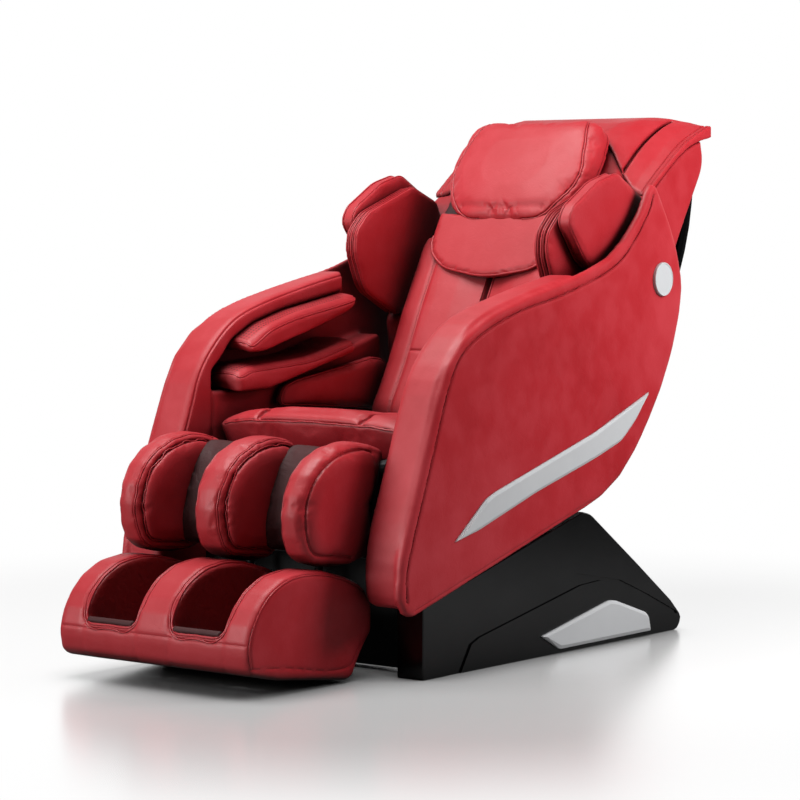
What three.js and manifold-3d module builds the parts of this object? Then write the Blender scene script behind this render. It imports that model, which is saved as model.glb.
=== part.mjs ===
// A reclining massage chair on a wedge base, in millimetres.
// +X is the sitter's left, -Y is the front, +Z is up and the floor is at Z = 0.
// Side outlines are lists of [y, z, corner radius], with Y = 0 at the front face of the base.
import * as THREE from 'three';
import { mergeVertices } from 'three/addons/utils/BufferGeometryUtils.js';
import Module from 'manifold-3d';

const wasm = await Module();
wasm.setup();

// ---- Driving dimensions ----

const SEAT_GAP = 0.3;            // between pieces that touch
const RUNNING_GAP = 0.6;         // between a shaft and its bore

// Widths, counted from the middle plane outwards
const CUSHION_HALF = 284;        // half the seat cushion
const CUSHION_SIDE_GAP = 11;     // from the cushion to the arm
const ARM_WIDTH = 91;            // arm bolster, without the outer panel
const PANEL_THICKNESS = 19;      // outer side panel
const PANEL_SPLAY = 0.028;       // how much the panel runs inwards per millimetre of depth
const CHEEK_WIDTH = 70;          // base cheek
const CHEEK_INSET = 6;           // from the arm's outer face in to the cheek

// Base
const BASE_LENGTH = 1000;
const SKIRT_FRONT = 161.6;       // height of the shell's lower edge over the base front
const SKIRT_SLOPE = 0.264;       // its rise per millimetre towards the rear
const CHEEK_DROP = 4;            // from the shell's lower edge down to the cheek
const GROOVE_DEPTH = 4;
const INSERT_THICKNESS = 9;
const BEAM = 40;                 // square tube of the floor frame
const BEAM_LIFT = 10;            // from the floor to the floor frame
const APRON_THICKNESS = 4;       // plate that closes the base between its cheeks
const APRON_LIFT = 30;
const FRONT_BEAM_Y = 60;
const REAR_BEAM_Y = 880;
const POST_DEPTH = 40;
const FRONT_POST_Y = 150;
const REAR_POST_Y = 700;

// Slide
const RAIL_WIDTH = 24;
const RAIL_INSET = 9;            // from the arm's inner face in to the rail
const RAIL_HEIGHT = 14;
const RAIL_TOP = 250;
const RAIL_FRONT = 60;
const RAIL_LENGTH = 740;
const ROLLER_RADIUS = 22;
const AXLE_RADIUS = 8;
const FRONT_AXLE_Y = 250;
const REAR_AXLE_Y = 600;

// Transport wheels
const WHEEL_RADIUS = 36;
const WHEEL_WIDTH = 22;
const WHEEL_FLOOR_GAP = 4;
const WHEEL_AXLE_RADIUS = 6;
const WHEEL_BEHIND = 50;         // from the rear beam back to the wheel axle

// Seat frame
const RAIL_TO_BEAM = 12;         // from the rail in to the seat beam
const SEAT_BEAM_WIDTH = 25;
const SEAT_BEAM_HEIGHT = 40;
const SEAT_BEAM_FRONT = 100;
const SEAT_BEAM_REAR = 640;
const SEAT_POST_DEPTH = 30;
const SEAT_REAR_POST_Y = 500;
const PAN_HEIGHT = 448;          // top of the seat frame
const PAN_THICKNESS = 8;
const CROSS_HEIGHT = 28;
const BRACKET_THICKNESS = 11;
const BRACKET_GAP = 5;           // from a hinge bracket to the arm

// Hinges, as [y, z]
const LEG_PIVOT = [0, 450];
const BACK_PIVOT = [600, 400];
const PIN_RADIUS = 10;
const HUB_RADIUS = 22;

// Leg rest
const LEG_INSET = 14;            // from the cushion's edge in to the leg rest
const RIDGE_WIDTH = 74;          // outer calf ridge
const CENTRE_RIDGE_HALF = 46;
const LEG_FRAME_PLATE = 12;

// Foot rest
const FOOT_INSET = 12;           // from the cushion's edge in to the foot rest
const FOOT_SIDE_WIDTH = 76;
const FOOT_DIVIDER_HALF = 52;
const SOLE_ROLLER_RADIUS = 17;
const SOLE_ROLLER_AT = [-300, 50];

// Back, measured along its front face (s) and back from it (d)
const BACK_FOOT = [560, 500];
const BACK_LEAN = 27.9;          // degrees from upright
const BACK_PAD_BESIDE_RAIL = 3.6; // from the back's rail out to the pad's edge
const BACK_PAD_THICKNESS = 66;
const BACK_PAD_LENGTH = 520;
const BACK_RAIL_DEPTH = 35;
const BACK_RAIL_WIDTH = 27;
const BACK_RAIL_FROM_PAD = 18;
const BACK_TOP_UNDER = 1030;     // height of the underside of the back's top
const COVER_BESIDE_PAD = 16;
const WING_WIDTH = 76;
const FLAP_BEYOND_WING = 4;
const PILLOW_FOOT_AT = [-19, 29];  // from the back pad's top edge to the pillow's foot
const PILLOW_LEAN = 35.4;
const PILLOW_LENGTH = 300;
const PILLOW_HALF = 214;
const CARRIAGE_AT = 220;         // rest place of the massage carriage along the back
const CARRIAGE_LENGTH = 120;
const KNEADER_RADIUS = 25;
const SHOULDER_THICKNESS = 40;
const SHOULDER_BESIDE_PAD = 20;
const NECK_PAD_HEIGHT = 134;
const NECK_PAD_HALF = 194;

// Derived widths
const LEG_HALF = CUSHION_HALF - LEG_INSET;
const FOOT_HALF = CUSHION_HALF - FOOT_INSET;
const ARM_INNER = CUSHION_HALF + CUSHION_SIDE_GAP;
const ARM_OUTER = ARM_INNER + ARM_WIDTH;
const PANEL_OUTER = ARM_OUTER + PANEL_THICKNESS;
const CHEEK_OUTER = ARM_OUTER - CHEEK_INSET;
const CHEEK_INNER = CHEEK_OUTER - CHEEK_WIDTH;
const RAIL_OUTER = ARM_INNER - RAIL_INSET;
const RAIL_INNER = RAIL_OUTER - RAIL_WIDTH;
const SEAT_BEAM_OUTER = RAIL_INNER - RAIL_TO_BEAM;
const SEAT_BEAM_INNER = SEAT_BEAM_OUTER - SEAT_BEAM_WIDTH;
const AXLE_HEIGHT = RAIL_TOP + SEAT_GAP + ROLLER_RADIUS;
const SEAT_BEAM_BOTTOM = AXLE_HEIGHT + AXLE_RADIUS + SEAT_GAP;
const BACK_PLATE_OUTER = SEAT_BEAM_OUTER - BRACKET_THICKNESS - RUNNING_GAP;
const BACK_RAIL_INNER = BACK_PLATE_OUTER - BACK_RAIL_WIDTH;
const BACK_PAD_HALF = BACK_PLATE_OUTER + BACK_PAD_BESIDE_RAIL;
const COVER_HALF = BACK_PAD_HALF + COVER_BESIDE_PAD;
const BRACKET_OUTER = ARM_INNER - BRACKET_GAP;
const BRACKET_INNER = BRACKET_OUTER - BRACKET_THICKNESS;
const PAN_TOP = PAN_HEIGHT + SEAT_GAP + PAN_THICKNESS;

// ---- Materials ----

function finish(color, roughness, metalness) {
  return new THREE.MeshStandardMaterial({ color, roughness, metalness });
}
const RED_LEATHER = finish(0xb5121b, 0.45, 0);
const BLACK_PLASTIC = finish(0x0b0b0c, 0.2, 0);
const SILVER = finish(0xc4c6c8, 0.35, 0.7);
const STEEL = finish(0x2a2c2e, 0.5, 0.6);
const NYLON = finish(0xd8d6d0, 0.5, 0);
const RUBBER = finish(0x1a1a1a, 0.8, 0);

// ---- Shape helpers ----

// Moves the corners of a closed outline inwards by a distance.
function inset(corners, distance) {
  const points = corners.map(([y, z]) => new THREE.Vector2(y, z));
  const turn = THREE.ShapeUtils.isClockWise(points) ? -1 : 1;
  return points.map((here, i) => {
    const before = here.clone().sub(points.at(i - 1)).normalize();
    const after = points[(i + 1) % points.length].clone().sub(here).normalize();
    const first = new THREE.Vector2(-before.y, before.x).multiplyScalar(turn);
    const second = new THREE.Vector2(-after.y, after.x).multiplyScalar(turn);
    const middle = first.clone().add(second).normalize();
    const moved = here.clone().addScaledVector(middle, distance / Math.max(0.6, middle.dot(first)));
    const radius = corners[i][2] ?? 0;
    return [moved.x, moved.y, radius > 0 ? Math.max(radius - distance, radius / 4) : 0];
  });
}

// A closed outline from [y, z, radius] corners: gives its points when shrunk by a distance.
const outline = (corners, steps = 2) => (shrink = 0) => {
  const moved = inset(corners, shrink);
  const points = moved.map(([y, z]) => new THREE.Vector2(y, z));
  const rounded = [];
  moved.forEach(([, , radius], i) => {
    const here = points[i];
    if (radius === 0) {
      rounded.push(here);
      return;
    }
    const inward = points.at(i - 1).clone().sub(here);
    const onward = points[(i + 1) % points.length].clone().sub(here);
    const reach = Math.min(radius, inward.length() * 0.45, onward.length() * 0.45);
    const start = here.clone().add(inward.setLength(reach));
    const end = here.clone().add(onward.setLength(reach));
    rounded.push(...new THREE.QuadraticBezierCurve(start, here, end).getPoints(steps));
  });
  return rounded;
};

const circle = ([y, z], radius, sides = 16) => (shrink = 0) => (
  Array.from({ length: sides }, (_, i) => {
    const angle = (i + 0.5) * 2 * Math.PI / sides;
    return new THREE.Vector2(y + (radius - shrink) * Math.cos(angle),
      z + (radius - shrink) * Math.sin(angle));
  }));

function volume(positions, index) {
  const [a, b, c] = [new THREE.Vector3(), new THREE.Vector3(), new THREE.Vector3()];
  let total = 0;
  for (let i = 0; i < index.length; i += 3) {
    a.fromArray(positions, index[i] * 3);
    b.fromArray(positions, index[i + 1] * 3);
    c.fromArray(positions, index[i + 2] * 3);
    total += a.dot(b.cross(c));
  }
  return total;
}

function closedGeometry(positions, index) {
  if (volume(positions, index) < 0) {
    index.reverse();
  }
  const geometry = new THREE.BufferGeometry();
  geometry.setAttribute('position', new THREE.Float32BufferAttribute(positions, 3));
  geometry.setIndex(index);
  return geometry;
}

// Skins a list of equal closed rings and caps the first and the last.
function loft(rings, flatten) {
  const count = rings[0].length;
  const positions = rings.flat().flatMap((point) => point.toArray());
  const index = [];
  for (let ring = 0; ring + 1 < rings.length; ring += 1) {
    for (let i = 0; i < count; i += 1) {
      const a = ring * count + i;
      const b = ring * count + (i + 1) % count;
      index.push(a, b, b + count, a, b + count, a + count);
    }
  }
  const cap = (ring, forward) => {
    const flat = ring.map(flatten);
    const first = rings.indexOf(ring) * count;
    const clockwise = THREE.ShapeUtils.isClockWise(flat);
    for (const [a, b, c] of THREE.ShapeUtils.triangulateShape(flat, [])) {
      const same = THREE.ShapeUtils.isClockWise([flat[a], flat[b], flat[c]]) === clockwise;
      index.push(...(same === forward ? [first + a, first + b, first + c]
        : [first + a, first + c, first + b]));
    }
  };
  cap(rings[0], false);
  cap(rings.at(-1), true);
  return closedGeometry(positions, index);
}

const sideView = (point) => new THREE.Vector2(point.y, point.z);
const keep = (x, point) => [x, point.x, point.y];

// Stacks a side outline at each station across the chair, bent by shape(x, point, inset).
function slab(points, stations, shape = keep) {
  const rings = stations.map(([x, shrink]) => points(shrink)
    .map((point) => new THREE.Vector3(...shape(x, point))));
  return loft(rings, sideView);
}

// Stations of a slab whose two edges are rounded over.
function roundedStations(from, to, radius, steps = 3) {
  const arc = Array.from({ length: steps + 1 }, (_, i) => {
    const angle = i * Math.PI / 2 / steps;
    return [radius * (1 - Math.cos(angle)), radius * (1 - Math.sin(angle))];
  });
  const near = arc.map(([out, shrink]) => [from + out, shrink]);
  const far = arc.map(([out, shrink]) => [to - out, shrink]).reverse();
  return [...near, ...far];
}

// A pad on a flat outline: crowned by front and back on each side of a thin edge.
function crowned(points, normal, front, back, edge) {
  const steps = [0.45, 0.75, 0.93, 1];
  const centre = points.reduce((sum, p) => sum.add(p), new THREE.Vector3())
    .divideScalar(points.length);
  const height = (share, crown) => edge / 2 + crown * Math.sqrt(1 - share ** 2.6);
  const ringAt = (share, lift) => points.map((point) => centre.clone().lerp(point, share)
    .addScaledVector(normal, lift));
  const rings = [
    ...steps.map((share) => ringAt(share, height(share, front))),
    ...steps.toReversed().map((share) => ringAt(share, -height(share, back))),
  ];
  const positions = rings.flat().flatMap((point) => point.toArray());
  const count = points.length;
  const index = [];
  for (let ring = 0; ring + 1 < rings.length; ring += 1) {
    for (let i = 0; i < count; i += 1) {
      const a = ring * count + i;
      const b = ring * count + (i + 1) % count;
      index.push(a, b, b + count, a, b + count, a + count);
    }
  }
  const top = positions.length / 3;
  positions.push(...centre.clone().addScaledVector(normal, height(0, front)).toArray());
  positions.push(...centre.clone().addScaledVector(normal, -height(0, back)).toArray());
  const last = (rings.length - 1) * count;
  for (let i = 0; i < count; i += 1) {
    const next = (i + 1) % count;
    index.push(top, next, i);
    index.push(top + 1, last + i, last + next);
  }
  return closedGeometry(positions, index);
}

function box(x, y, z) {
  const geometry = new THREE.BoxGeometry(x[1] - x[0], y[1] - y[0], z[1] - z[0]);
  return geometry.translate((x[0] + x[1]) / 2, (y[0] + y[1]) / 2, (z[0] + z[1]) / 2);
}

function mirrored(geometry) {
  const copy = geometry.clone().scale(-1, 1, 1);
  const index = copy.index.array.slice().reverse();
  return copy.setIndex([...index]);
}

function bare(geometry) {
  const copy = geometry.clone();
  copy.deleteAttribute('normal');
  copy.deleteAttribute('uv');
  return mergeVertices(copy);
}

function toSolid(geometry) {
  const clean = bare(geometry);
  return new wasm.Manifold(new wasm.Mesh({
    numProp: 3,
    vertProperties: new Float32Array(clean.attributes.position.array),
    triVerts: new Uint32Array(clean.index.array),
  }));
}

function toGeometry(solid) {
  const mesh = solid.getMesh();
  const geometry = new THREE.BufferGeometry();
  geometry.setAttribute('position', new THREE.BufferAttribute(mesh.vertProperties, 3));
  geometry.setIndex([...mesh.triVerts]);
  return geometry;
}

function joined(pieces) {
  return toGeometry(pieces.map(toSolid).reduce((sum, piece) => sum.add(piece)));
}

function cut(body, tools) {
  return toGeometry(tools.map(toSolid).reduce((rest, tool) => rest.subtract(tool), toSolid(body)));
}

const bothSides = (geometry) => [geometry, mirrored(geometry)];

// Repeats [x, value] entries, listed from the middle outwards, on the other side of the middle.
const bothWays = (half) => [...half.slice(1).map(([x, value]) => [-x, value]).reverse(), ...half];

// A turned piece with its axis along X, from [x, radius] points.
function turnedAlongX(profile, [y, z], sides = 20) {
  const points = profile.map(([x, radius]) => new THREE.Vector2(radius, x));
  const geometry = new THREE.LatheGeometry(points, sides);
  return bare(geometry).rotateZ(-Math.PI / 2).translate(0, y, z);
}

// ---- The chair as a scene graph ----

const chair = new THREE.Group();

function add(name, geometry, material) {
  const mesh = new THREE.Mesh(geometry, material);
  mesh.name = name;
  chair.add(mesh);
}

function addPair(name, geometry, material) {
  add(`${name}_left`, geometry, material);
  add(`${name}_right`, mirrored(geometry), material);
}

// ---- Places that several pieces share ----

// Height of the shell's lower edge at a depth.
const skirt = (y) => SKIRT_FRONT + SKIRT_SLOPE * y;

// The side panels and the arms' outer faces run inwards towards the rear.
const splayed = (x, y) => (x > ARM_INNER + ARM_WIDTH / 2 ? x - PANEL_SPLAY * y : x);
const armShape = (x, point) => [splayed(x, point.x), point.x, point.y];

const LEAN = THREE.MathUtils.degToRad(BACK_LEAN);
const TILT = THREE.MathUtils.degToRad(PILLOW_LEAN);

// A point at s along the back's front face and d behind it, as [y, z].
function onBack(s, d) {
  return [BACK_FOOT[0] + s * Math.sin(LEAN) + d * Math.cos(LEAN),
    BACK_FOOT[1] + s * Math.cos(LEAN) - d * Math.sin(LEAN)];
}

const PILLOW_FOOT = onBack(BACK_PAD_LENGTH, 0).map((at, i) => at + PILLOW_FOOT_AT[i]);

function onPillow(s, d) {
  return [PILLOW_FOOT[0] + s * Math.sin(TILT) + d * Math.cos(TILT),
    PILLOW_FOOT[1] + s * Math.cos(TILT) - d * Math.sin(TILT)];
}

// ---- Base ----

const CHEEK_TOP_REAR = 600;

function cheek() {
  const top = (y) => skirt(y) - CHEEK_DROP;
  const side = outline([[0, 0, 4], [BASE_LENGTH, 0, 14], [BASE_LENGTH + 20, 30, 16],
    [BASE_LENGTH - 29, 75, 10], [BASE_LENGTH - 175, 177], [CHEEK_TOP_REAR + 31, 309, 12],
    [CHEEK_TOP_REAR, top(CHEEK_TOP_REAR)], [0, top(0)]]);
  const body = slab(side, [[CHEEK_INNER, 0], [CHEEK_OUTER - 2, 0], [CHEEK_OUTER, 2]]);
  const groove = outline([[83, -1], [134, 70], [154, 83], [571, 178], [673, 159.5], [755, 144],
    [874, 98], [997, 45], [997, 38], [870, 90], [755, 136], [673, 151], [593, 147], [205, 71],
    [174, 59], [134, -1]]);
  const depth = [[CHEEK_OUTER - GROOVE_DEPTH, 0], [CHEEK_OUTER + GROOVE_DEPTH, 0]];
  return cut(body, [slab(groove, depth)]);
}

function insert() {
  const side = outline([[433, 47, 4], [702, 102, 12], [729, 98, 8], [853, 58, 6], [867, 46, 6],
    [876, 12, 4], [501, 11, 6]], 2);
  const from = CHEEK_OUTER + SEAT_GAP;
  return slab(side, [[from, 0], [from + INSERT_THICKNESS - 4, 0], [from + INSERT_THICKNESS, 8]]);
}

const WHEEL_CENTRE = [REAR_BEAM_Y + BEAM + WHEEL_BEHIND, WHEEL_RADIUS + WHEEL_FLOOR_GAP];
const WHEEL_FROM = RAIL_INNER + 14;

function floorFrame() {
  const beamTop = BEAM_LIFT + BEAM;
  const across = CHEEK_INNER - SEAT_GAP;
  const bar = (y) => box([-across, across], [y, y + BEAM], [BEAM_LIFT, beamTop]);
  const post = (y) => box([RAIL_INNER, RAIL_OUTER], [y, y + POST_DEPTH],
    [beamTop - 1, RAIL_TOP - RAIL_HEIGHT + 1]);
  const runner = box([RAIL_INNER, RAIL_OUTER], [FRONT_BEAM_Y + 1, REAR_BEAM_Y + 1],
    [BEAM_LIFT, beamTop]);
  const arm = box([RAIL_INNER, WHEEL_FROM - RUNNING_GAP], [REAR_BEAM_Y + BEAM - 1,
    WHEEL_CENTRE[0] + 12], [WHEEL_CENTRE[1] - 12, WHEEL_CENTRE[1] + 9]);
  const stub = turnedAlongX([[RAIL_INNER + 2, 0], [RAIL_INNER + 2, WHEEL_AXLE_RADIUS],
    [WHEEL_FROM + WHEEL_WIDTH + 2, WHEEL_AXLE_RADIUS], [WHEEL_FROM + WHEEL_WIDTH + 2, 0]],
  WHEEL_CENTRE, 16);
  const rail = box([RAIL_INNER, RAIL_OUTER], [RAIL_FRONT, RAIL_FRONT + RAIL_LENGTH],
    [RAIL_TOP - RAIL_HEIGHT, RAIL_TOP]);
  const apronFront = RAIL_FRONT - APRON_THICKNESS;
  const apron = (half, to) => box([-half, half], [apronFront, RAIL_FRONT + 1], [APRON_LIFT, to]);
  const sides = [post(FRONT_POST_Y), post(REAR_POST_Y), runner, rail, arm, stub];
  return joined([apron(across, skirt(apronFront) - CHEEK_DROP),
    apron(ARM_INNER - SEAT_GAP * 2, RAIL_TOP - 6), bar(FRONT_BEAM_Y), bar(REAR_BEAM_Y),
    ...sides.flatMap(bothSides)]);
}

function transportWheel() {
  const bore = WHEEL_AXLE_RADIUS + RUNNING_GAP;
  const to = WHEEL_FROM + WHEEL_WIDTH;
  return turnedAlongX([[WHEEL_FROM, bore], [WHEEL_FROM, WHEEL_RADIUS - 4],
    [WHEEL_FROM + 4, WHEEL_RADIUS], [to - 4, WHEEL_RADIUS], [to, WHEEL_RADIUS - 4],
    [to, bore], [WHEEL_FROM, bore]], WHEEL_CENTRE, 24);
}

// Power inlet with its switch, on the rear beam
const INLET_X = [40, 140];
const INLET_DEPTH = 34;
const INLET_Z = [BEAM_LIFT + 2, BEAM_LIFT + BEAM - 2];
const ROCKER_X = [50, 74];
const ROCKER_HEIGHT = 15;
const ROCKER_SWING = 8;          // room above and below the rocker, together
const SOCKET_X = [92, 128];
const SOCKET_HEIGHT = 24;
const SOCKET_DEPTH = 20;
const POCKET_DEPTH = 17;
const PIN_PITCH = 8;

function inlet() {
  const front = REAR_BEAM_Y + BEAM + SEAT_GAP;
  const rear = front + INLET_DEPTH;
  const middle = (INLET_Z[0] + INLET_Z[1]) / 2;
  const high = (height) => [middle - height / 2, middle + height / 2];
  const socket = box(SOCKET_X, [rear - SOCKET_DEPTH, rear + 1], high(SOCKET_HEIGHT));
  const pocket = box([ROCKER_X[0] - SEAT_GAP, ROCKER_X[1] + SEAT_GAP],
    [rear - POCKET_DEPTH, rear + 1], high(ROCKER_HEIGHT + ROCKER_SWING));
  const pin = (x) => box([x - 1, x + 1], [rear - SOCKET_DEPTH - 1, rear - 5], high(6));
  const centre = (SOCKET_X[0] + SOCKET_X[1]) / 2;
  const body = cut(box(INLET_X, [front, rear], INLET_Z), [socket, pocket]);
  return joined([body, pin(centre - PIN_PITCH), pin(centre), pin(centre + PIN_PITCH)]);
}

function rocker() {
  const rear = REAR_BEAM_Y + BEAM + SEAT_GAP + INLET_DEPTH;
  const middle = (INLET_Z[0] + INLET_Z[1]) / 2;
  const half = ROCKER_HEIGHT / 2;
  const root = rear - POCKET_DEPTH + 3 + SEAT_GAP;
  const side = outline([[root, middle - 2.5], [root, middle + 2.5], [rear - 3, middle + half],
    [rear + 1.5, middle + half], [rear + 0.5, middle], [rear + 4.5, middle - half],
    [rear - 3, middle - half]]);
  return slab(side, [[ROCKER_X[0], 0], [ROCKER_X[1], 0]]);
}

addPair('base_cheek', cheek(), BLACK_PLASTIC);
addPair('base_insert', insert(), SILVER);
add('base_frame', floorFrame(), STEEL);
addPair('transport_wheel', transportWheel(), RUBBER);
add('power_inlet', inlet(), BLACK_PLASTIC);
add('power_switch', rocker(), RUBBER);

// ---- Seat carrier ----

const FRONT_CROSS_Y = SEAT_BEAM_FRONT + 10;

// A plate with a pin bore, from the hinge to its foot.
function hingeBracket(pivot, foot, from, to) {
  const [y, z] = pivot;
  const rim = HUB_RADIUS * 0.7;
  const plate = slab(outline(foot(y, z, rim)), [[from, 0], [to, 0]]);
  const hub = slab(circle(pivot, HUB_RADIUS), [[from, 0], [to, 0]]);
  return joined([plate, hub]);
}

function seatFrame() {
  const beamTop = SEAT_BEAM_BOTTOM + SEAT_BEAM_HEIGHT;
  const crossBottom = PAN_HEIGHT - CROSS_HEIGHT;
  const beam = box([SEAT_BEAM_INNER, SEAT_BEAM_OUTER], [SEAT_BEAM_FRONT, SEAT_BEAM_REAR],
    [SEAT_BEAM_BOTTOM, beamTop]);
  const post = (y) => box([SEAT_BEAM_INNER, SEAT_BEAM_OUTER], [y, y + SEAT_POST_DEPTH],
    [beamTop - 1, PAN_HEIGHT]);
  const low = (y) => box([-SEAT_BEAM_INNER - 1, SEAT_BEAM_INNER + 1], [y, y + SEAT_POST_DEPTH],
    [SEAT_BEAM_BOTTOM + 10, beamTop]);
  const reach = ARM_INNER - SEAT_GAP;
  const high = (y) => box([-reach, reach], [y, y + SEAT_POST_DEPTH],
    [crossBottom, PAN_HEIGHT]);
  const side = [beam, post(FRONT_CROSS_Y), post(SEAT_REAR_POST_Y)];
  const legFoot = (y, z, rim) => [[y + rim, z - rim], [FRONT_CROSS_Y + 1, crossBottom],
    [FRONT_CROSS_Y + SEAT_POST_DEPTH, crossBottom], [FRONT_CROSS_Y + SEAT_POST_DEPTH, PAN_HEIGHT],
    [FRONT_CROSS_Y - 4, PAN_HEIGHT], [y, z + HUB_RADIUS - 1]];
  const backFoot = (y, z, rim) => [[y - rim, z - rim], [y - 40, beamTop - 1],
    [SEAT_BEAM_REAR, beamTop - 1], [y + rim, z - rim]];
  const legBracket = hingeBracket(LEG_PIVOT, legFoot, BRACKET_INNER, BRACKET_OUTER);
  const backBracket = hingeBracket(BACK_PIVOT, backFoot, SEAT_BEAM_OUTER - BRACKET_THICKNESS,
    SEAT_BEAM_OUTER);
  const frame = joined([...[...side, legBracket, backBracket].flatMap(bothSides),
    low(FRONT_CROSS_Y), low(SEAT_REAR_POST_Y), high(FRONT_CROSS_Y), high(SEAT_REAR_POST_Y)]);
  const bore = (pivot, x) => slab(circle(pivot, PIN_RADIUS + RUNNING_GAP),
    [[x - BRACKET_THICKNESS - 2, 0], [x + 2, 0]]);
  const bores = [bore(LEG_PIVOT, BRACKET_OUTER), bore(BACK_PIVOT, SEAT_BEAM_OUTER)];
  return cut(frame, bores.flatMap(bothSides));
}

function rollerAxle(y) {
  const wheelTo = RAIL_OUTER - 2;
  const wheelFrom = RAIL_INNER + 2;
  const half = [[0, AXLE_RADIUS], [wheelFrom, AXLE_RADIUS], [wheelFrom, ROLLER_RADIUS],
    [wheelTo, ROLLER_RADIUS], [wheelTo, 0]];
  return turnedAlongX(bothWays(half), [y, AXLE_HEIGHT], 16);
}

const CUSHION_BOTTOM = PAN_TOP + SEAT_GAP;
const CUSHION_FRONT = 52;
const CUSHION_REAR = 552;
const CUSHION_CREST = 109;       // from the cushion's underside up to its front crest
const CROWN_DEPTH = 66;          // from the crest down to where the sides stand straight
const SIDE_DROP = 34;
const CORNER_DRAW = 26;          // how far the front corners are drawn back
const CORNER_REACH = 148;
const CHANNEL_X = 150;
const CHANNEL_DEPTH = 7;

function seatCushion() {
  const lifted = [[CUSHION_FRONT + 52, 0, 8], [CUSHION_FRONT + 14, 66, 8], [CUSHION_FRONT, 88, 14],
    [CUSHION_FRONT + 16, CUSHION_CREST, 22], [180, 99, 40], [360, 72, 60], [480, 69, 30],
    [CUSHION_REAR, 71, 20], [CUSHION_REAR, 33, 10], [CUSHION_REAR - 16, 0, 6]];
  const side = outline(lifted.map(([y, up, radius]) => [y, CUSHION_BOTTOM + up, radius]));
  const shape = (x, point) => {
    const across = Math.abs(x) / CUSHION_HALF;
    const height = Math.max(0, 1 - (CUSHION_BOTTOM + CUSHION_CREST - point.y) / CROWN_DEPTH);
    const forward = Math.max(0, 1 - (point.x - CUSHION_FRONT) / CORNER_REACH);
    const channel = CHANNEL_DEPTH * Math.exp(-(((Math.abs(x) - CHANNEL_X) / 16) ** 2));
    const drop = (SIDE_DROP * across ** 3 + channel) * height;
    return [x, point.x + CORNER_DRAW * across ** 4 * forward * height, point.y - drop];
  };
  const half = [[0, 0], [90, 0], [CHANNEL_X - 18, 0], [CHANNEL_X, 0], [CHANNEL_X + 18, 0],
    [(CHANNEL_X + CUSHION_HALF) / 2, 0], [CUSHION_HALF - 18, 0],
    [CUSHION_HALF - 5, 3], [CUSHION_HALF, 9]];
  return slab(side, bothWays(half), shape);
}

function airPump() {
  const z = [SEAT_BEAM_BOTTOM + 10, SEAT_BEAM_BOTTOM + 110];
  const y = [FRONT_CROSS_Y + SEAT_POST_DEPTH + SEAT_GAP, 300];
  const shell = slab(outline([[y[0], z[0], 6], [y[1], z[0], 14], [y[1], z[1], 14],
    [y[0], z[1], 6]]), roundedStations(-90, 90, 10, 2));
  return shell;
}

add('seat_frame', seatFrame(), STEEL);
add('roller_axle_front', rollerAxle(FRONT_AXLE_Y), STEEL);
add('roller_axle_rear', rollerAxle(REAR_AXLE_Y), STEEL);
add('seat_pan', box([-CUSHION_HALF, CUSHION_HALF], [108, CUSHION_REAR - 14],
  [PAN_HEIGHT + SEAT_GAP, PAN_TOP]), STEEL);
add('seat_cushion', seatCushion(), RED_LEATHER);
add('air_pump', airPump(), BLACK_PLASTIC);

// ---- Side shells and arms ----

const shellRear = [[1024, 835, 16], [1020, 789, 30], [1000, 715, 40], [954, 618, 40],
  [905, 545, 40], [850, 478, 40], [788, 414, 50], [714, 361, 50], [630, skirt(630) + 4, 30]];
const shellTip = [[850, 1022, 26], [868, 1062, 16], [898, 1076, 14], [938, 1018, 20],
  [982, 952, 30], [1008, 892, 30]];
const shellTop = [[40, 638, 30], [84, 706, 40], [165, 757, 50], [314, 806, 60], [486, 839, 60],
  [654, 881, 50], [735, 914, 40], [798, 964, 40]];
const shellFront = [[-67, skirt(-67), 10], [-112, 164, 24], [-115, 238, 40], [-88, 320, 40],
  [-40, 439, 50], [8, 562, 40]];

function sidePanel() {
  const side = outline([...shellFront, ...shellTop, ...shellTip, ...shellRear], 1);
  const stations = [[ARM_OUTER, 0], [PANEL_OUTER - 8, 0], [PANEL_OUTER - 2, 5],
    [PANEL_OUTER, 14]];
  return slab(side, stations, armShape);
}

const ARM_REAR = 560;            // rear end of the arm bolster
const POST_REAR = 85;            // rear face of the front bolster
const recessTop = [[118, 668, 6], [152, 706, 16], [226, 744, 20], [329, 772, 30], [470, 796, 30],
  [ARM_REAR, 812]];
const recessFloor = [[118, 594, 6], [226, 594, 20], [380, 631, 20], [ARM_REAR, 674]];

// The padded bolster round the front and top of the arm, with the forearm recess below it.
function armBolster() {
  const side = outline([[-24, skirt(-24) + 1, 10], [-96, skirt(-96) + 30, 24], [-104, 262, 40],
    [-82, 345, 40], [-36, 455, 50], [8, 572, 40], [36, 644, 40], [88, 708, 40], [158, 762, 50],
    [250, 795, 50], [437, 838, 60], [ARM_REAR, 861], ...recessTop.toReversed(),
    [POST_REAR, 640, 10], [POST_REAR, skirt(POST_REAR) + 1]]);
  return slab(side, [[ARM_INNER, 12], [ARM_INNER + 5, 4], [ARM_INNER + 16, 0],
    [ARM_OUTER - SEAT_GAP, 0]], armShape);
}

const INNER_REAR = 700;          // rear end of the inner arm panel

function armInner() {
  const side = outline([[POST_REAR + SEAT_GAP, 320], [POST_REAR + SEAT_GAP, 594],
    ...recessFloor, [INNER_REAR, 708, 12], [INNER_REAR, 400, 20], [ARM_REAR, 345]]);
  return slab(side, [[ARM_INNER, 5], [ARM_INNER + 5, 0], [ARM_OUTER - SEAT_GAP, 0]], armShape);
}

const TRIM_THICKNESS = 7;

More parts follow.
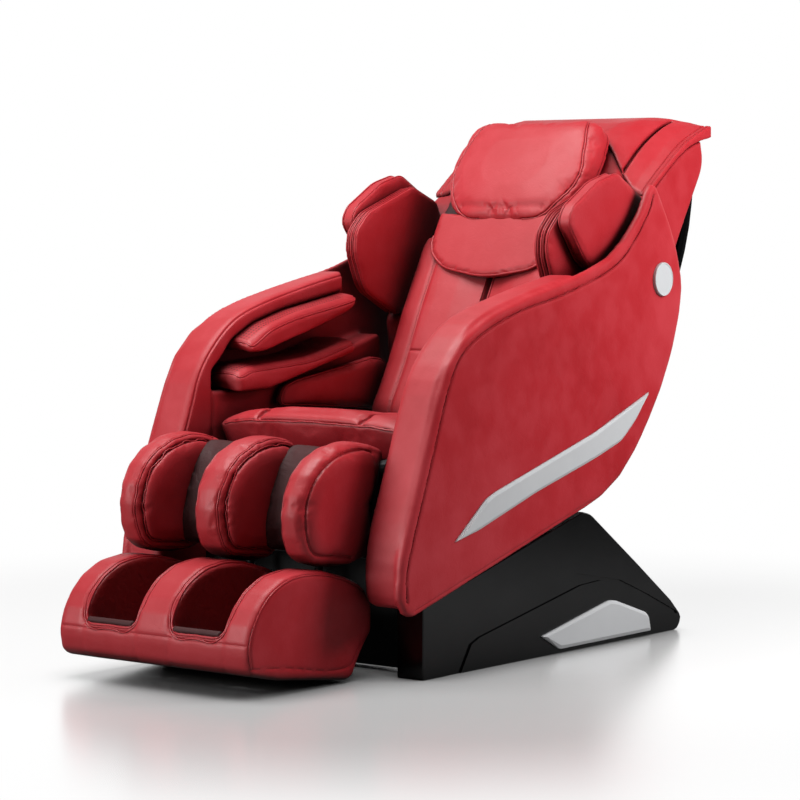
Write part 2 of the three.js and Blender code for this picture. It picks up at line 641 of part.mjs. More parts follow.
function sideTrim() {
  const side = outline([[81, 294], [194, 377, 10], [232, 391, 12], [630, 497, 20], [864, 579],
    [808, 518, 16], [745, 472, 16], [631, 438, 20], [394, 379], [170, 313]], 2);
  const from = PANEL_OUTER + SEAT_GAP;
  return slab(side, [[from, 0], [from + 3, 0], [from + TRIM_THICKNESS, 7]], armShape);
}

const DISC_CENTRE = [925, 845];
const DISC_RADIUS = 40;

function sideDisc() {
  const from = PANEL_OUTER + SEAT_GAP;
  const rim = circle(DISC_CENTRE, DISC_RADIUS, 32);
  return slab(rim, [[from, 0], [from + 4, 0], [from + 6, 3]], armShape);
}

const PAD_INNER = 240;           // how far the forearm pads reach in over the seat

function forearmPad(top, bottom) {
  const side = outline([...top, ...bottom.toReversed()]);
  const shape = (x, point) => {
    const across = THREE.MathUtils.clamp((ARM_INNER - x) / (ARM_INNER - PAD_INNER), 0, 1);
    return [splayed(x, point.x), point.x, point.y - 10 * across ** 2];
  };
  return slab(side, [[PAD_INNER, 15], [PAD_INNER + 4, 7], [PAD_INNER + 16, 1], [ARM_INNER, 0],
    [ARM_OUTER - 1 - SEAT_GAP, 0]], shape);
}

const below = ([y, z, radius]) => [y, z - SEAT_GAP * 2, radius];
const above = ([y, z, radius]) => [y, z + SEAT_GAP * 2, radius];

function upperForearmPad() {
  const top = recessTop.slice(1).map(below);
  return forearmPad(top, [[160, 682, 10], [220, 686, 20], [385, 728, 30], [540, 776, 20]]);
}

function lowerForearmPad() {
  const bottom = recessFloor.slice(0, -1).map(above);
  return forearmPad([[112, 640, 14], [160, 652, 20], [380, 668, 30], [548, 708, 16]],
    [...bottom, [548, 673, 12]]);
}

const hipSide = [[284, 548, 8], [286, 588, 14], [324, 611, 16], [416, 626, 20], [652, 659, 20],
  [704, 633, 14], [657, 520, 14]];
const HIP_THICKNESS = 40;

function hipPad() {
  const middle = ARM_INNER - SEAT_GAP - HIP_THICKNESS / 2;
  const points = outline(hipSide, 1)(0).map((p) => new THREE.Vector3(middle, p.x, p.y));
  return crowned(points, new THREE.Vector3(-1, 0, 0), HIP_THICKNESS / 2 - 7, HIP_THICKNESS / 2 - 7,
    14);
}

addPair('side_panel', sidePanel(), RED_LEATHER);
addPair('arm_bolster', armBolster(), RED_LEATHER);
addPair('arm_inner', armInner(), RED_LEATHER);
addPair('side_trim', sideTrim(), SILVER);
addPair('side_disc', sideDisc(), SILVER);
addPair('forearm_pad_upper', upperForearmPad(), RED_LEATHER);
addPair('forearm_pad_lower', lowerForearmPad(), RED_LEATHER);
addPair('hip_pad', hipPad(), RED_LEATHER);

// ---- Leg rest ----

// The tubes that carry the foot rest slide in guides behind the leg frame.
const FOOT_TUBE_X = 100;
const FOOT_TUBE_Y = -12;
const FOOT_TUBE_RADIUS = 9;
const FOOT_REAR = -36;
const FOOT_BAR_Z = [104, 156];

function footTube(grow, from, to) {
  const tube = new THREE.CylinderGeometry(FOOT_TUBE_RADIUS + grow, FOOT_TUBE_RADIUS + grow,
    to - from, 20);
  return bare(tube).rotateX(Math.PI / 2).translate(FOOT_TUBE_X, FOOT_TUBE_Y, (from + to) / 2);
}

function footFrame() {
  const bar = box([-200, 200], [FOOT_REAR + SEAT_GAP, FOOT_TUBE_Y + FOOT_TUBE_RADIUS],
    FOOT_BAR_Z);
  return joined([bar, ...bothSides(footTube(0, FOOT_BAR_Z[0] + 5, 452))]);
}

const LEG_REAR = -42;            // rear face of the calf pads
const LEG_BARS = [312, 352];     // undersides of the leg frame's two bars
const LEG_BAR_HEIGHT = 34;
const LEG_FRAME_DEPTH = 20;

function legFrame() {
  const rear = LEG_REAR + SEAT_GAP;
  const barDepth = [rear, rear + LEG_FRAME_DEPTH];
  const plateTo = BRACKET_INNER - RUNNING_GAP;
  const plateFrom = plateTo - LEG_FRAME_PLATE;
  const bar = (z) => box([-plateFrom - 1, plateFrom + 1], barDepth, [z, z + LEG_BAR_HEIGHT]);
  const [y, z] = LEG_PIVOT;
  const plate = slab(outline([[rear, 312], [rear + LEG_FRAME_DEPTH, 312], [y + 6, z - 40, 20],
    [y + HUB_RADIUS - 4, z - 8], [y - HUB_RADIUS + 4, z + 8], [rear, z - 60]]),
  [[plateFrom, 0], [plateTo, 0]]);
  const hub = slab(circle(LEG_PIVOT, HUB_RADIUS - 2), [[plateFrom, 0], [plateTo, 0]]);
  const pin = slab(circle(LEG_PIVOT, PIN_RADIUS), [[plateFrom + 2, 0], [BRACKET_OUTER + 2, 0]]);
  const upright = box([150, 180], barDepth, [330, 360]);
  const guide = (low) => box([FOOT_TUBE_X - 20, FOOT_TUBE_X + 20],
    [rear + LEG_FRAME_DEPTH - 1, FOOT_TUBE_Y + 14], [low, low + LEG_BAR_HEIGHT]);
  const sides = [plate, hub, pin, upright, ...LEG_BARS.map(guide)].flatMap(bothSides);
  const frame = joined([...LEG_BARS.map(bar), ...sides]);
  return cut(frame, bothSides(footTube(RUNNING_GAP, 300, 400)));
}

const ridgeFront = [[-60, 519, 26], [-122, 517, 30], [-176, 502, 30], [-224, 474, 30],
  [-258, 436, 30], [-276, 390, 30], [-278, 345, 26], [-268, 302, 24], [-246, 268, 20],
  [-206, 256, 16], [-100, 245, 12]];
const centreRidgeSide = [[-12, 502, 12], ...ridgeFront, [LEG_REAR, 290], [LEG_REAR, 392]];
const outerRidgeSide = [[14, 499, 12], ...ridgeFront, [-26, 262, 14], [-6, 300, 16],
  [4, 390, 16], [18, 440, 10]];
const channelSide = [[-8, 494, 6], [-34, 500, 20], [-84, 474, 40], [-132, 390, 40],
  [-146, 320, 30], [-138, 274, 16], [-100, 266, 10], [-70, 280, 10], [LEG_REAR, 304],
  [LEG_REAR, 392], [-24, 482, 4]];

// A calf bolster: crowned, and drawn in towards its front.
function ridge(corners, from, to) {
  const middle = (from + to) / 2;
  const half = (to - from) / 2;
  const shape = (x, point) => {
    const forward = THREE.MathUtils.clamp((-120 - point.x) / 140, 0, 1);
    const across = (x - middle) / half;
    return [x - across * half * 0.14 * forward ** 2, point.x, point.y];
  };
  return slab(outline(corners, 1), [[from, 18], [from + 4, 9], [from + 14, 2],
    [middle, 0], [to - 14, 2], [to - 4, 9], [to, 18]], shape);
}

// Behind, an outer bolster is cut back for the leg frame's plate, and for its bars.
function outerRidge() {
  const plateFrom = BRACKET_INNER - RUNNING_GAP - LEG_FRAME_PLATE;
  const [y, z] = LEG_PIVOT;
  const plateRoom = box([plateFrom - SEAT_GAP, LEG_HALF + 1], [LEG_REAR, y + HUB_RADIUS],
    [z - 200, z + 80]);
  const barRoom = box([-LEG_HALF, LEG_HALF], [LEG_REAR, y + HUB_RADIUS],
    [LEG_BARS[0] - SEAT_GAP, LEG_BARS[1] + LEG_BAR_HEIGHT + SEAT_GAP]);
  return cut(ridge(outerRidgeSide, LEG_HALF - RIDGE_WIDTH, LEG_HALF), [plateRoom, barRoom]);
}

function calfChannel() {
  const from = CENTRE_RIDGE_HALF + SEAT_GAP;
  const to = LEG_HALF - RIDGE_WIDTH - SEAT_GAP;
  const shape = (x, point) => {
    const across = (2 * x - from - to) / (to - from);
    const dish = point.x < LEG_REAR - 20 ? 16 * (1 - across ** 2) : 0;
    return [x, point.x + dish, point.y];
  };
  const step = (to - from) / 4;
  return slab(outline(channelSide, 2), [0, 1, 2, 3, 4].map((i) => [from + i * step, 0]), shape);
}

add('leg_frame', legFrame(), STEEL);
addPair('calf_ridge', outerRidge(), RED_LEATHER);
add('calf_ridge_centre', ridge(centreRidgeSide, -CENTRE_RIDGE_HALF, CENTRE_RIDGE_HALF),
  RED_LEATHER);
addPair('calf_channel', calfChannel(), RED_LEATHER);

// ---- Foot rest ----

const footTop = [[FOOT_REAR, FOOT_BAR_Z[1]], [-58, 196, 16], [-100, 218, 20], [-150, 234, 20],
  [-216, 246, 20], [-290, 248, 30], [-355, 229, 30], [-398, 198, 30], [-424, 166, 20], [-441, 132, 16],
  [-448, 96, 10]];
const footBottom = [[-440, 54, 12], [-340, 32], [-106, 4, 12], [-74, 60, 20],
  [FOOT_REAR, FOOT_BAR_Z[0]]];
const FLOOR_OF_WELL = 62;
const WELL_LIP = 134;

function footSide(from, to, lift) {
  const raised = footTop.map(([y, z, radius]) => [y, z + (y < -200 ? lift : lift * 0.5), radius]);
  return slab(outline([...raised, ...footBottom], 1), roundedStations(from, to, 12, 2));
}

const WELL_REAR = -150;

function footWell() {
  const from = FOOT_DIVIDER_HALF + SEAT_GAP;
  const to = FOOT_HALF - FOOT_SIDE_WIDTH - SEAT_GAP;
  const rear = [[FOOT_REAR, FOOT_BAR_Z[1]], [-58, 194, 16], [-126, 222, 8], [WELL_REAR, 212, 10],
    [WELL_REAR - 16, 90, 20]];
  const floor = [[-200, FLOOR_OF_WELL - 8, 30], [-300, FLOOR_OF_WELL, 20], [-384, 72, 20],
    [-426, WELL_LIP, 6], [-443, WELL_LIP - 4, 6], [-447, 96, 10]];
  const body = slab(outline([...rear, ...floor, ...footBottom], 1), [[from, 0], [to, 0]]);
  const [y, z] = SOLE_ROLLER_AT;
  const pocket = SOLE_ROLLER_RADIUS + 2;
  return cut(body, [box([from - 1, to - 8], [y - pocket, y + pocket], [z - pocket, 120])]);
}

// One shaft through the divider, with knobbed rollers in both wells.
function soleRoller() {
  const from = FOOT_DIVIDER_HALF + 10;
  const to = FOOT_HALF - FOOT_SIDE_WIDTH - 10;
  const bumps = 2;
  const pitch = (to - from) / bumps;
  const core = SOLE_ROLLER_RADIUS - 7;
  const profile = [[0, core]];
  for (let i = 0; i < bumps; i += 1) {
    const at = from + i * pitch;
    profile.push([at + pitch * 0.2, core], [at + pitch * 0.4, SOLE_ROLLER_RADIUS],
      [at + pitch * 0.6, SOLE_ROLLER_RADIUS], [at + pitch * 0.8, core]);
  }
  profile.push([to, core], [to, 0]);
  return turnedAlongX(bothWays(profile), SOLE_ROLLER_AT, 10);
}

function footDivider() {
  const body = footSide(-FOOT_DIVIDER_HALF, FOOT_DIVIDER_HALF, 12);
  const bore = SOLE_ROLLER_RADIUS - 7 + RUNNING_GAP;
  const reach = FOOT_DIVIDER_HALF + 2;
  return cut(body, [slab(circle(SOLE_ROLLER_AT, bore), [[-reach, 0], [reach, 0]])]);
}

add('foot_frame', footFrame(), STEEL);
addPair('foot_side', footSide(FOOT_HALF - FOOT_SIDE_WIDTH, FOOT_HALF, 6), RED_LEATHER);
add('foot_divider', footDivider(), RED_LEATHER);
addPair('foot_well', footWell(), RED_LEATHER);
add('sole_roller', soleRoller(), NYLON);

// ---- Back ----

function backPad() {
  const side = outline([[...onBack(0, 8), 16], [...onBack(40, -6), 40], [...onBack(160, 0), 60],
    [...onBack(300, -8), 60], [...onBack(BACK_PAD_LENGTH - 40, -6), 30],
    [...onBack(BACK_PAD_LENGTH, 6), 14], [...onBack(BACK_PAD_LENGTH, BACK_PAD_THICKNESS), 6],
    [...onBack(0, BACK_PAD_THICKNESS), 6]]);
  const shape = (x, point) => {
    const depth = (point.x - BACK_FOOT[0]) * Math.cos(LEAN)
      - (point.y - BACK_FOOT[1]) * Math.sin(LEAN);
    const front = THREE.MathUtils.clamp(1 - depth / 40, 0, 1);
    const valley = 20 * Math.exp(-((x / 70) ** 2)) * front;
    return [x, point.x + valley * Math.cos(LEAN), point.y - valley * Math.sin(LEAN)];
  };
  const half = [[0, 0], [40, 0], [80, 0], [140, 0], [BACK_PAD_HALF - 40, 1],
    [BACK_PAD_HALF - 10, 6], [BACK_PAD_HALF, 16]];
  return slab(side, bothWays(half), shape);
}

const RAIL_D = BACK_PAD_THICKNESS + BACK_RAIL_FROM_PAD;
const BACK_RAIL_LENGTH = (BACK_TOP_UNDER - SEAT_GAP * 2 - BACK_FOOT[1] + RAIL_D * Math.sin(LEAN))
  / Math.cos(LEAN);

// The rear cover's inner and outer face.
const coverInner = [[1226, 1082], [1227, 1055, 20], [1220, 1000, 40], [1204, 940, 40],
  [1181, 882, 40], [1123, 768, 60], [1044, 657, 60], [950, 556, 60], [852, 484, 40], [790, 468]];
const coverOuter = [[786, 444], [858, 458, 40], [968, 532, 60], [1068, 640, 60], [1150, 756, 60],
  [1207, 875, 40], [1230, 934, 40], [1246, 997, 40], [1254, 1054, 20], [1253, 1082]];

function rearCover(grow = 0) {
  const side = outline([...coverInner, ...coverOuter], 1);
  if (grow > 0) {
    return slab(side, [[-COVER_HALF - grow, -grow], [COVER_HALF + grow, -grow]]);
  }
  return slab(side, [[-COVER_HALF, 7], [-COVER_HALF + 8, 0], [COVER_HALF - 8, 0],
    [COVER_HALF, 7]]);
}

// The flap over the top of the back, along its middle and along its side edges.
const FLAP_THICKNESS = 14;
const FLAP_TAIL = 16;            // how much thicker the flap is at its rear edge
const FLAP_HALF = BACK_PAD_HALF + WING_WIDTH + FLAP_BEYOND_WING;
const FLAP_OVERLAP = 3;          // how far the pieces below are made to reach before the cut
const flapMiddle = new THREE.CatmullRomCurve3([[998, 1192], [1060, 1219], [1137, 1235],
  [1190, 1237], [1228, 1228]].map(([y, z]) => new THREE.Vector3(0, y, z)));
const flapSide = new THREE.CatmullRomCurve3([[953, 1052], [1030, 1111], [1108, 1164],
  [1165, 1191], [1232, 1216]].map(([y, z]) => new THREE.Vector3(0, y, z)));

function onFlap(x, along, sunk) {
  const share = THREE.MathUtils.smoothstep(Math.abs(x), 140 + 90 * along, 300 + 20 * along);
  const point = flapMiddle.getPoint(along).lerp(flapSide.getPoint(along), share);
  return [x, point.y, point.z - sunk];
}

const TOP_HALF = BACK_PAD_HALF;
const flapStations = [0, 100, 160, 190, TOP_HALF - 22, TOP_HALF];
const FLAP_STEPS = 7;
const alongFlap = Array.from({ length: FLAP_STEPS + 1 }, (_, i) => i / FLAP_STEPS);
const symmetric = (half) => [...half.slice(1).map((x) => -x).reverse(), ...half];

function topFlap(grow = 0) {
  const rings = symmetric([...flapStations, TOP_HALF + 33, TOP_HALF + 58, FLAP_HALF]).map((x) => {
    const top = alongFlap.map((t) => new THREE.Vector3(...onFlap(x, t, 0)));
    const thickness = (t) => FLAP_THICKNESS + FLAP_TAIL * t ** 4 + grow;
    const under = alongFlap.map((t) => new THREE.Vector3(...onFlap(x, t, thickness(t))));
    return [...top, ...under.reverse()];
  });
  return loft(rings, sideView);
}

const PILLOW_DEPTH = 60;

function backTop(grow = 0) {
  const rear = [[1196, 1150], [1200, 1104], [1150, 1050], [930, BACK_TOP_UNDER - grow]];
  const [footY, footZ] = onPillow(130, PILLOW_DEPTH + SEAT_GAP * 2);
  const rings = symmetric([...flapStations.slice(0, -1), TOP_HALF + grow]).map((x) => {
    const under = alongFlap.slice(0, -1)
      .map((t) => new THREE.Vector3(...onFlap(x, t, FLAP_THICKNESS - FLAP_OVERLAP)));
    const foot = new THREE.Vector3(x, footY, Math.min(footZ, under[0].z - 20));
    return [...under, ...rear.map(([y, z]) => new THREE.Vector3(x, y, z)), foot];
  });
  return cut(loft(rings, sideView), [topFlap(SEAT_GAP), headPillow(SEAT_GAP)]);
}

// Shoulder pads, whose rear edges lie along the wing.
const shoulderSeat = [[784, 795], [903, 997]];
const shoulderSides = {
  inner: [[788, 1070, 14], [614, 1007, 20], [566, 960, 20], [560, 906, 30], [600, 812, 30],
    [734, 746, 20], shoulderSeat[0], shoulderSeat[1], [888, 1030, 14]],
  outer: [[795, 1098, 14], [716, 1078, 20], [612, 1016, 20], [594, 978, 20], [672, 880, 30],
    [770, 850, 20], [823, 862], shoulderSeat[1], [908, 1036, 14]],
};
const SHOULDER_FROM = BACK_PAD_HALF + SHOULDER_BESIDE_PAD;
const SHOULDER_CROWN = 10;
const SHOULDER_PITCH = SHOULDER_THICKNESS - SEAT_GAP;

function shoulderPad(layer) {
  const place = Object.keys(shoulderSides).indexOf(layer);
  const middle = SHOULDER_FROM + SHOULDER_THICKNESS / 2 + place * SHOULDER_PITCH;
  const points = outline(shoulderSides[layer], 2)(0)
    .map((p) => new THREE.Vector3(middle, p.x, p.y));
  const edge = SHOULDER_THICKNESS - 2 * SHOULDER_CROWN;
  return crowned(points, new THREE.Vector3(-1, 0, 0), SHOULDER_CROWN, SHOULDER_CROWN, edge);
}

const WING_FROM = BACK_PAD_HALF + SEAT_GAP * 2;
const FLAP_TO_WING = 1.6;

function backWing() {
  const [seatFoot, seatHead] = shoulderSeat;
  const behind = SEAT_GAP * 2;
  const top = alongFlap.slice(1, -1).map((t) => {
    const [, y, z] = onFlap(WING_FROM + WING_WIDTH, t, FLAP_THICKNESS - FLAP_OVERLAP);
    return [y, z];
  });
  const side = outline([[800, 560, 30], [754, 640, 20], [seatFoot[0] - 42, seatFoot[1] - 52, 10],
    [seatFoot[0] + behind, seatFoot[1] - behind], [seatHead[0] + behind, seatHead[1] - behind],
    [926, 1024], ...top, [1196, 1166, 6], [1204, 1138, 20], [1198, 1104, 20], [1105, 954, 40],
    [1000, 770, 40], [900, 620, 40], [850, 560, 20]], 2);
  const to = WING_FROM + WING_WIDTH;
  const wing = slab(side, [[WING_FROM, 0], [to - 14, 0], [to - 5, 2], [to, 7]]);
  return cut(wing, [topFlap(FLAP_TO_WING)]);
}

// A pad whose outline lies on a leaning plane, from [x, s, radius] corners.
function padOnPlane(corners, place, depth, front, back, edge, lean, shrink = 0) {
  const points = outline(corners, 2)(shrink)
    .map((p) => new THREE.Vector3(p.x, ...place(p.y, depth)));
  const normal = new THREE.Vector3(0, -Math.cos(lean), Math.sin(lean));
  return crowned(points, normal, front, back, edge);
}

function headPillow(grow = 0) {
  const half = PILLOW_HALF;
  const top = PILLOW_LENGTH;
  const side = [[0.5, -6, 24], [0.8, 34, 30], [1, 132, 50], [1, 204, 40], [0.92, top - 18, 24],
    [0.7, top, 20]];
  const corners = [[0, -10, 60], ...side.map(([x, s, radius]) => [x * half, s, radius]),
    [0, top + 2, 60], ...side.toReversed().map(([x, s, radius]) => [-x * half, s, radius])];
  return padOnPlane(corners, onPillow, 33, 31 + grow, 4 + grow, 46, TILT, -grow);
}

function neckPad() {
  const half = NECK_PAD_HALF;
  const top = BACK_PAD_LENGTH - 4;
  const tip = top - NECK_PAD_HEIGHT;
  const corners = [[-half, top, 10], [-half, tip + 78, 30], [-half * 0.74, tip + 28, 40],
    [0, tip, 90], [half * 0.74, tip + 28, 40], [half, tip + 78, 30], [half, top, 10]];
  return padOnPlane(corners, onBack, -11, 7, 1, 8, LEAN);
}

function acrossBack(corners, from, to) {
  return slab(outline(corners.map(([s, d]) => onBack(s, d))), [[from, 0], [to, 0]]);
}

function backFrame() {
  const railRear = RAIL_D + BACK_RAIL_DEPTH;
  const from = BACK_RAIL_INNER;
  const strip = (s, length, near, far, to = BACK_PLATE_OUTER) => acrossBack(
    [[s, near], [s + length, near], [s + length, far], [s, far]], from, to);
  const [y, z] = BACK_PIVOT;
  const foot = slab(outline([[y - 14, z + 12], [y + 10, z - 16], onBack(34, railRear - 1),
    onBack(70, railRear - 1), onBack(70, RAIL_D)]), [[from, 0], [BACK_PLATE_OUTER, 0]]);
  const hub = slab(circle(BACK_PIVOT, HUB_RADIUS - 2), [[from, 0], [BACK_PLATE_OUTER, 0]]);
  const pin = slab(circle(BACK_PIVOT, PIN_RADIUS), [[from + 2, 0], [SEAT_BEAM_OUTER + 2, 0]]);
  const bar = (s) => acrossBack([[s, RAIL_D + 4], [s + 30, RAIL_D + 4], [s + 30, railRear - 4],
    [s, railRear - 4]], -from - 1, from + 1);
  // Slats behind the pad, and arms that carry the wings and the rear cover.
  const slat = (s) => strip(s, 30, BACK_PAD_THICKNESS + SEAT_GAP, RAIL_D + 1);
  const arm = (s, reach) => strip(s, 24, railRear - 1, reach, WING_FROM - SEAT_GAP);
  const sides = [strip(30, BACK_RAIL_LENGTH - 30, RAIL_D, railRear), foot, hub, pin, slat(60),
    slat(460), arm(150, 286), arm(520, 370)];
  const frame = joined([bar(32), bar(BACK_RAIL_LENGTH - 50), ...sides.flatMap(bothSides)]);
  return cut(frame, [rearCover(SEAT_GAP), backTop(SEAT_GAP * 2)]);
}

// Massage carriage between the rails, with its kneading and tapping shafts
const WINDOW_HALF = 95;
const TAPPER_RADIUS = 13;
const SHAFT_GAP = 6;             // between the kneading and the tapping shaft
const KNEADER_BELOW = 16;        // from the carriage's middle down to the kneading shaft
const TAPPER_ABOVE = KNEADER_RADIUS + TAPPER_RADIUS + SHAFT_GAP - KNEADER_BELOW;
const KNEADER_AT = [CARRIAGE_AT - KNEADER_BELOW, BACK_PAD_THICKNESS + 5 + KNEADER_RADIUS];
const TAPPER_AT = [CARRIAGE_AT + TAPPER_ABOVE, BACK_PAD_THICKNESS + 8 + TAPPER_RADIUS];

function carriage() {
  const half = BACK_RAIL_INNER - SEAT_GAP;
  const s = [CARRIAGE_AT - CARRIAGE_LENGTH / 2, CARRIAGE_AT + CARRIAGE_LENGTH / 2];
  const near = BACK_PAD_THICKNESS + 8;
  const far = RAIL_D + BACK_RAIL_DEPTH - 5;
  const plate = acrossBack([[s[0], near], [s[1], near], [s[1], far], [s[0], far]], -half, half);
  const window = acrossBack([[s[0] + 12, near - 9], [s[1] - 12, near - 9], [s[1] - 12, far + 1],
    [s[0] + 12, far + 1]], -WINDOW_HALF, WINDOW_HALF);
  return cut(plate, [window]);
}

function kneader() {
  const end = WINDOW_HALF - SEAT_GAP;
  return turnedAlongX(bothWays([[0, 8], [38, 8], [42, KNEADER_RADIUS], [64, KNEADER_RADIUS],
    [68, 8], [end, 8], [end, 0]]), onBack(...KNEADER_AT), 14);
}

function tapper() {
  const end = WINDOW_HALF - SEAT_GAP;
  return turnedAlongX(bothWays([[0, 6], [20, 6], [20, TAPPER_RADIUS], [76, TAPPER_RADIUS],
    [76, 6], [end, 6], [end, 0]]), onBack(...TAPPER_AT), 10);
}

add('back_pad', backPad(), RED_LEATHER);
add('back_frame', backFrame(), STEEL);
add('back_cover', rearCover(), BLACK_PLASTIC);
add('back_top', backTop(), RED_LEATHER);
add('top_flap', cut(topFlap(), [headPillow(SEAT_GAP)]), RED_LEATHER);
addPair('back_wing', backWing(), RED_LEATHER);
add('head_pillow', headPillow(), RED_LEATHER);
add('neck_pad', neckPad(), RED_LEATHER);
for (const layer of Object.keys(shoulderSides)) {
  addPair(`shoulder_${layer}`, shoulderPad(layer), RED_LEATHER);
}
add('massage_carriage', carriage(), STEEL);
add('kneading_shaft', kneader(), NYLON);
add('tapping_shaft', tapper(), NYLON);

// ---- Place: the middle of the chair's length over the origin ----

const extent = new THREE.Box3().setFromObject(chair);
chair.position.y = -(extent.min.y + extent.max.y) / 2;

export default chair;
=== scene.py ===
"""Looks for a reclining massage chair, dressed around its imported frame.

Every length in the classes is in millimetres. Side views are lists of (y, z) or (y, z, radius)
with y = 0 at the front face of the base, as the frame's own drawings have them. +X is the
sitter's left. Only left-hand pieces are shaped, and the right-hand ones are their mirror images.
"""
import logging
import math
from contextlib import contextmanager
from dataclasses import dataclass, field, replace
from enum import Enum
from typing import Callable, Iterable, Iterator, Sequence

import bmesh
import bpy
import numpy as np
from mathutils import Matrix, Vector
from mathutils.bvhtree import BVHTree
from mathutils.geometry import interpolate_bezier


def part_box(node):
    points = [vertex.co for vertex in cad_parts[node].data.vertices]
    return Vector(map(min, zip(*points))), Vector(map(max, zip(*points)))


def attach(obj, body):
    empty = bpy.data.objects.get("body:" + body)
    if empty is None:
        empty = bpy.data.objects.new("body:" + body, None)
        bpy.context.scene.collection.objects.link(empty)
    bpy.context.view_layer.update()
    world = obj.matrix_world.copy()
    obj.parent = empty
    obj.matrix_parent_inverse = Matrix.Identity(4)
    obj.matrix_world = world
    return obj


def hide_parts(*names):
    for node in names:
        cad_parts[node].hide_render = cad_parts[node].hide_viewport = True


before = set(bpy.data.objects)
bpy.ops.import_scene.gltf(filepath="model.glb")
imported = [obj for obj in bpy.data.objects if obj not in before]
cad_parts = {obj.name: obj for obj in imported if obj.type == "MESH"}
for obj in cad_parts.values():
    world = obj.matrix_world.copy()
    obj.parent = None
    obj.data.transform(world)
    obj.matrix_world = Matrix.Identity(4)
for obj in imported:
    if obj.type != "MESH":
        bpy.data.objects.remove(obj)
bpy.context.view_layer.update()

LOG = logging.getLogger("chair")

MM = 0.001
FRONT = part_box("base_cheek_left")[0].y
MERGE = 0.00002
TINY = 1e-9
TINY_SQUARE = 1e-12
WHITE = (1.0, 1.0, 1.0, 1.0)

Path = list[Vector]
Corner = Sequence[float]
Spot = tuple[float, float, float]
Colour = tuple[float, float, float, float]


class Body(Enum):
    """The bodies that dressed pieces ride on."""

    SEAT = "seat"
    BACK = "backrest"
    LEGS = "legrest"
    FEET = "footrest"


class Slot(Enum):
    """The record's material slots."""

    LEATHER = "red_leather"
    GLOSS = "black_gloss"
    SILVER = "silver_trim"
    STEEL = "dark_steel"
    NYLON = "pale_nylon"
    RUBBER = "black_rubber"


# ---- Places and paths ----

SHARPEST = 0.6
CORNER_SHARE = 0.45
CURVE_STEPS = 24


def at(x: float, y: float, z: float) -> Vector:
    """A point of the drawings, in metres in the frame."""
    return Vector((x * MM, FRONT + y * MM, z * MM))


def inset(corners: Sequence[Corner], distance: float) -> list[tuple[float, float]]:
    """Moves the corners of a closed side outline inwards.

    Args:
        corners: (y, z) or (y, z, radius) in order round the outline.
        distance: how far each edge moves in.

    Returns:
        The moved (y, z) corners.
    """
    points = [Vector((c[0], c[1])) for c in corners]
    count = len(points)
    area = sum(
        a.x * b.y - b.x * a.y for a, b in zip(points, points[1:] + points[:1], strict=True)
    )
    turn = 1 if area > 0 else -1
    moved = []
    for i, here in enumerate(points):
        before = (here - points[i - 1]).normalized()
        after = (points[(i + 1) % count] - here).normalized()
        first = Vector((-before.y, before.x)) * turn
        second = Vector((-after.y, after.x)) * turn
        middle = (first + second).normalized()
        place = here + middle * (distance / max(SHARPEST, middle.dot(first)))
        moved.append((place.x, place.y))
    return moved


def rounded(corners: Sequence[Corner], steps: int = 5) -> list[tuple[float, float]]:
    """Rounds the corners of a closed side outline.

    Args:
        corners: (y, z, radius) in order round the outline; a missing radius is sharp.
        steps: segments in each rounded corner.

    Returns:
        The outline's (y, z) points.
    """
    points = [Vector((c[0], c[1])) for c in corners]
    out: list[tuple[float, float]] = []
    for i, here in enumerate(points):
        radius = corners[i][2] if len(corners[i]) > 2 else 0
        if not radius:
            out.append((here.x, here.y))
            continue
        inward = points[i - 1] - here
        onward = points[(i + 1) % len(points)] - here
        reach = min(radius, CORNER_SHARE * min(inward.length, onward.length))
        start = here + inward.normalized() * reach
        end = here + onward.normalized() * reach
        for k in range(steps + 1):
            t = k / steps
            p = start * (1 - t) ** 2 + here * (2 * t * (1 - t)) + end * t**2
            out.append((p.x, p.y))
    return out


def even(points: Path, pitch: float, closed: bool = False) -> Path:
    """Points at an even pitch on a smooth curve through a few control points.

    Args:
        points: the control points, in metres.
        pitch: the spacing along the curve, in metres.
        closed: whether the curve returns to its start.

    Returns:
        The evenly spaced points.
    """
    count = len(points)
    curve: Path = []
    for i in range(count if closed else count - 1):
        a, b = points[i], points[(i + 1) % count]
        before = points[i - 1] if closed or i > 0 else a
        after = points[(i + 2) % count] if closed or i + 2 < count else b
        span = max((b - a).length, TINY)
        grip = span / 3
        out = (b - before).normalized() * grip
        back = (after - a).normalized() * grip
        curve += list(interpolate_bezier(a, a + out, b - back, b, CURVE_STEPS))[:-1]
    curve.append(points[0].copy() if closed else points[-1].copy())
    line = np.array([list(p) for p in curve])
    run = np.concatenate([[0], np.cumsum(np.linalg.norm(np.diff(line, axis=0), axis=1))])
    steps = max(3, round(run[-1] / pitch))
    where = np.linspace(0, run[-1], steps + 1)
    if closed:
        where = where[:-1]
    return [Vector([np.interp(s, run, line[:, k]) for k in range(3)]) for s in where]


def softened(points: Path, rounds: int, closed: bool = False) -> Path:
    """A path with its small kinks averaged out, its ends kept."""
    line = np.array([list(p) for p in points])
    for _ in range(rounds):
        mean = (np.roll(line, 1, axis=0) + np.roll(line, -1, axis=0) + 2 * line) / 4
        if not closed:
            mean[0], mean[-1] = line[0], line[-1]
        line = mean
    return [Vector(p) for p in line]


def drawn(places: np.ndarray) -> tuple[np.ndarray, np.ndarray, np.ndarray]:
    """Where places lie in the drawings: X without its sign, Y and Z."""
    return np.abs(places[:, 0]) / MM, (places[:, 1] - FRONT) / MM, places[:, 2] / MM


def ramp(value: np.ndarray, start: np.ndarray | float, end: np.ndarray | float) -> np.ndarray:
    """0 on one side of start, 1 on the other side of end, and a straight rise between them."""
    return np.clip((value - start) / (end - start), 0, 1)


# ---- Mesh work ----


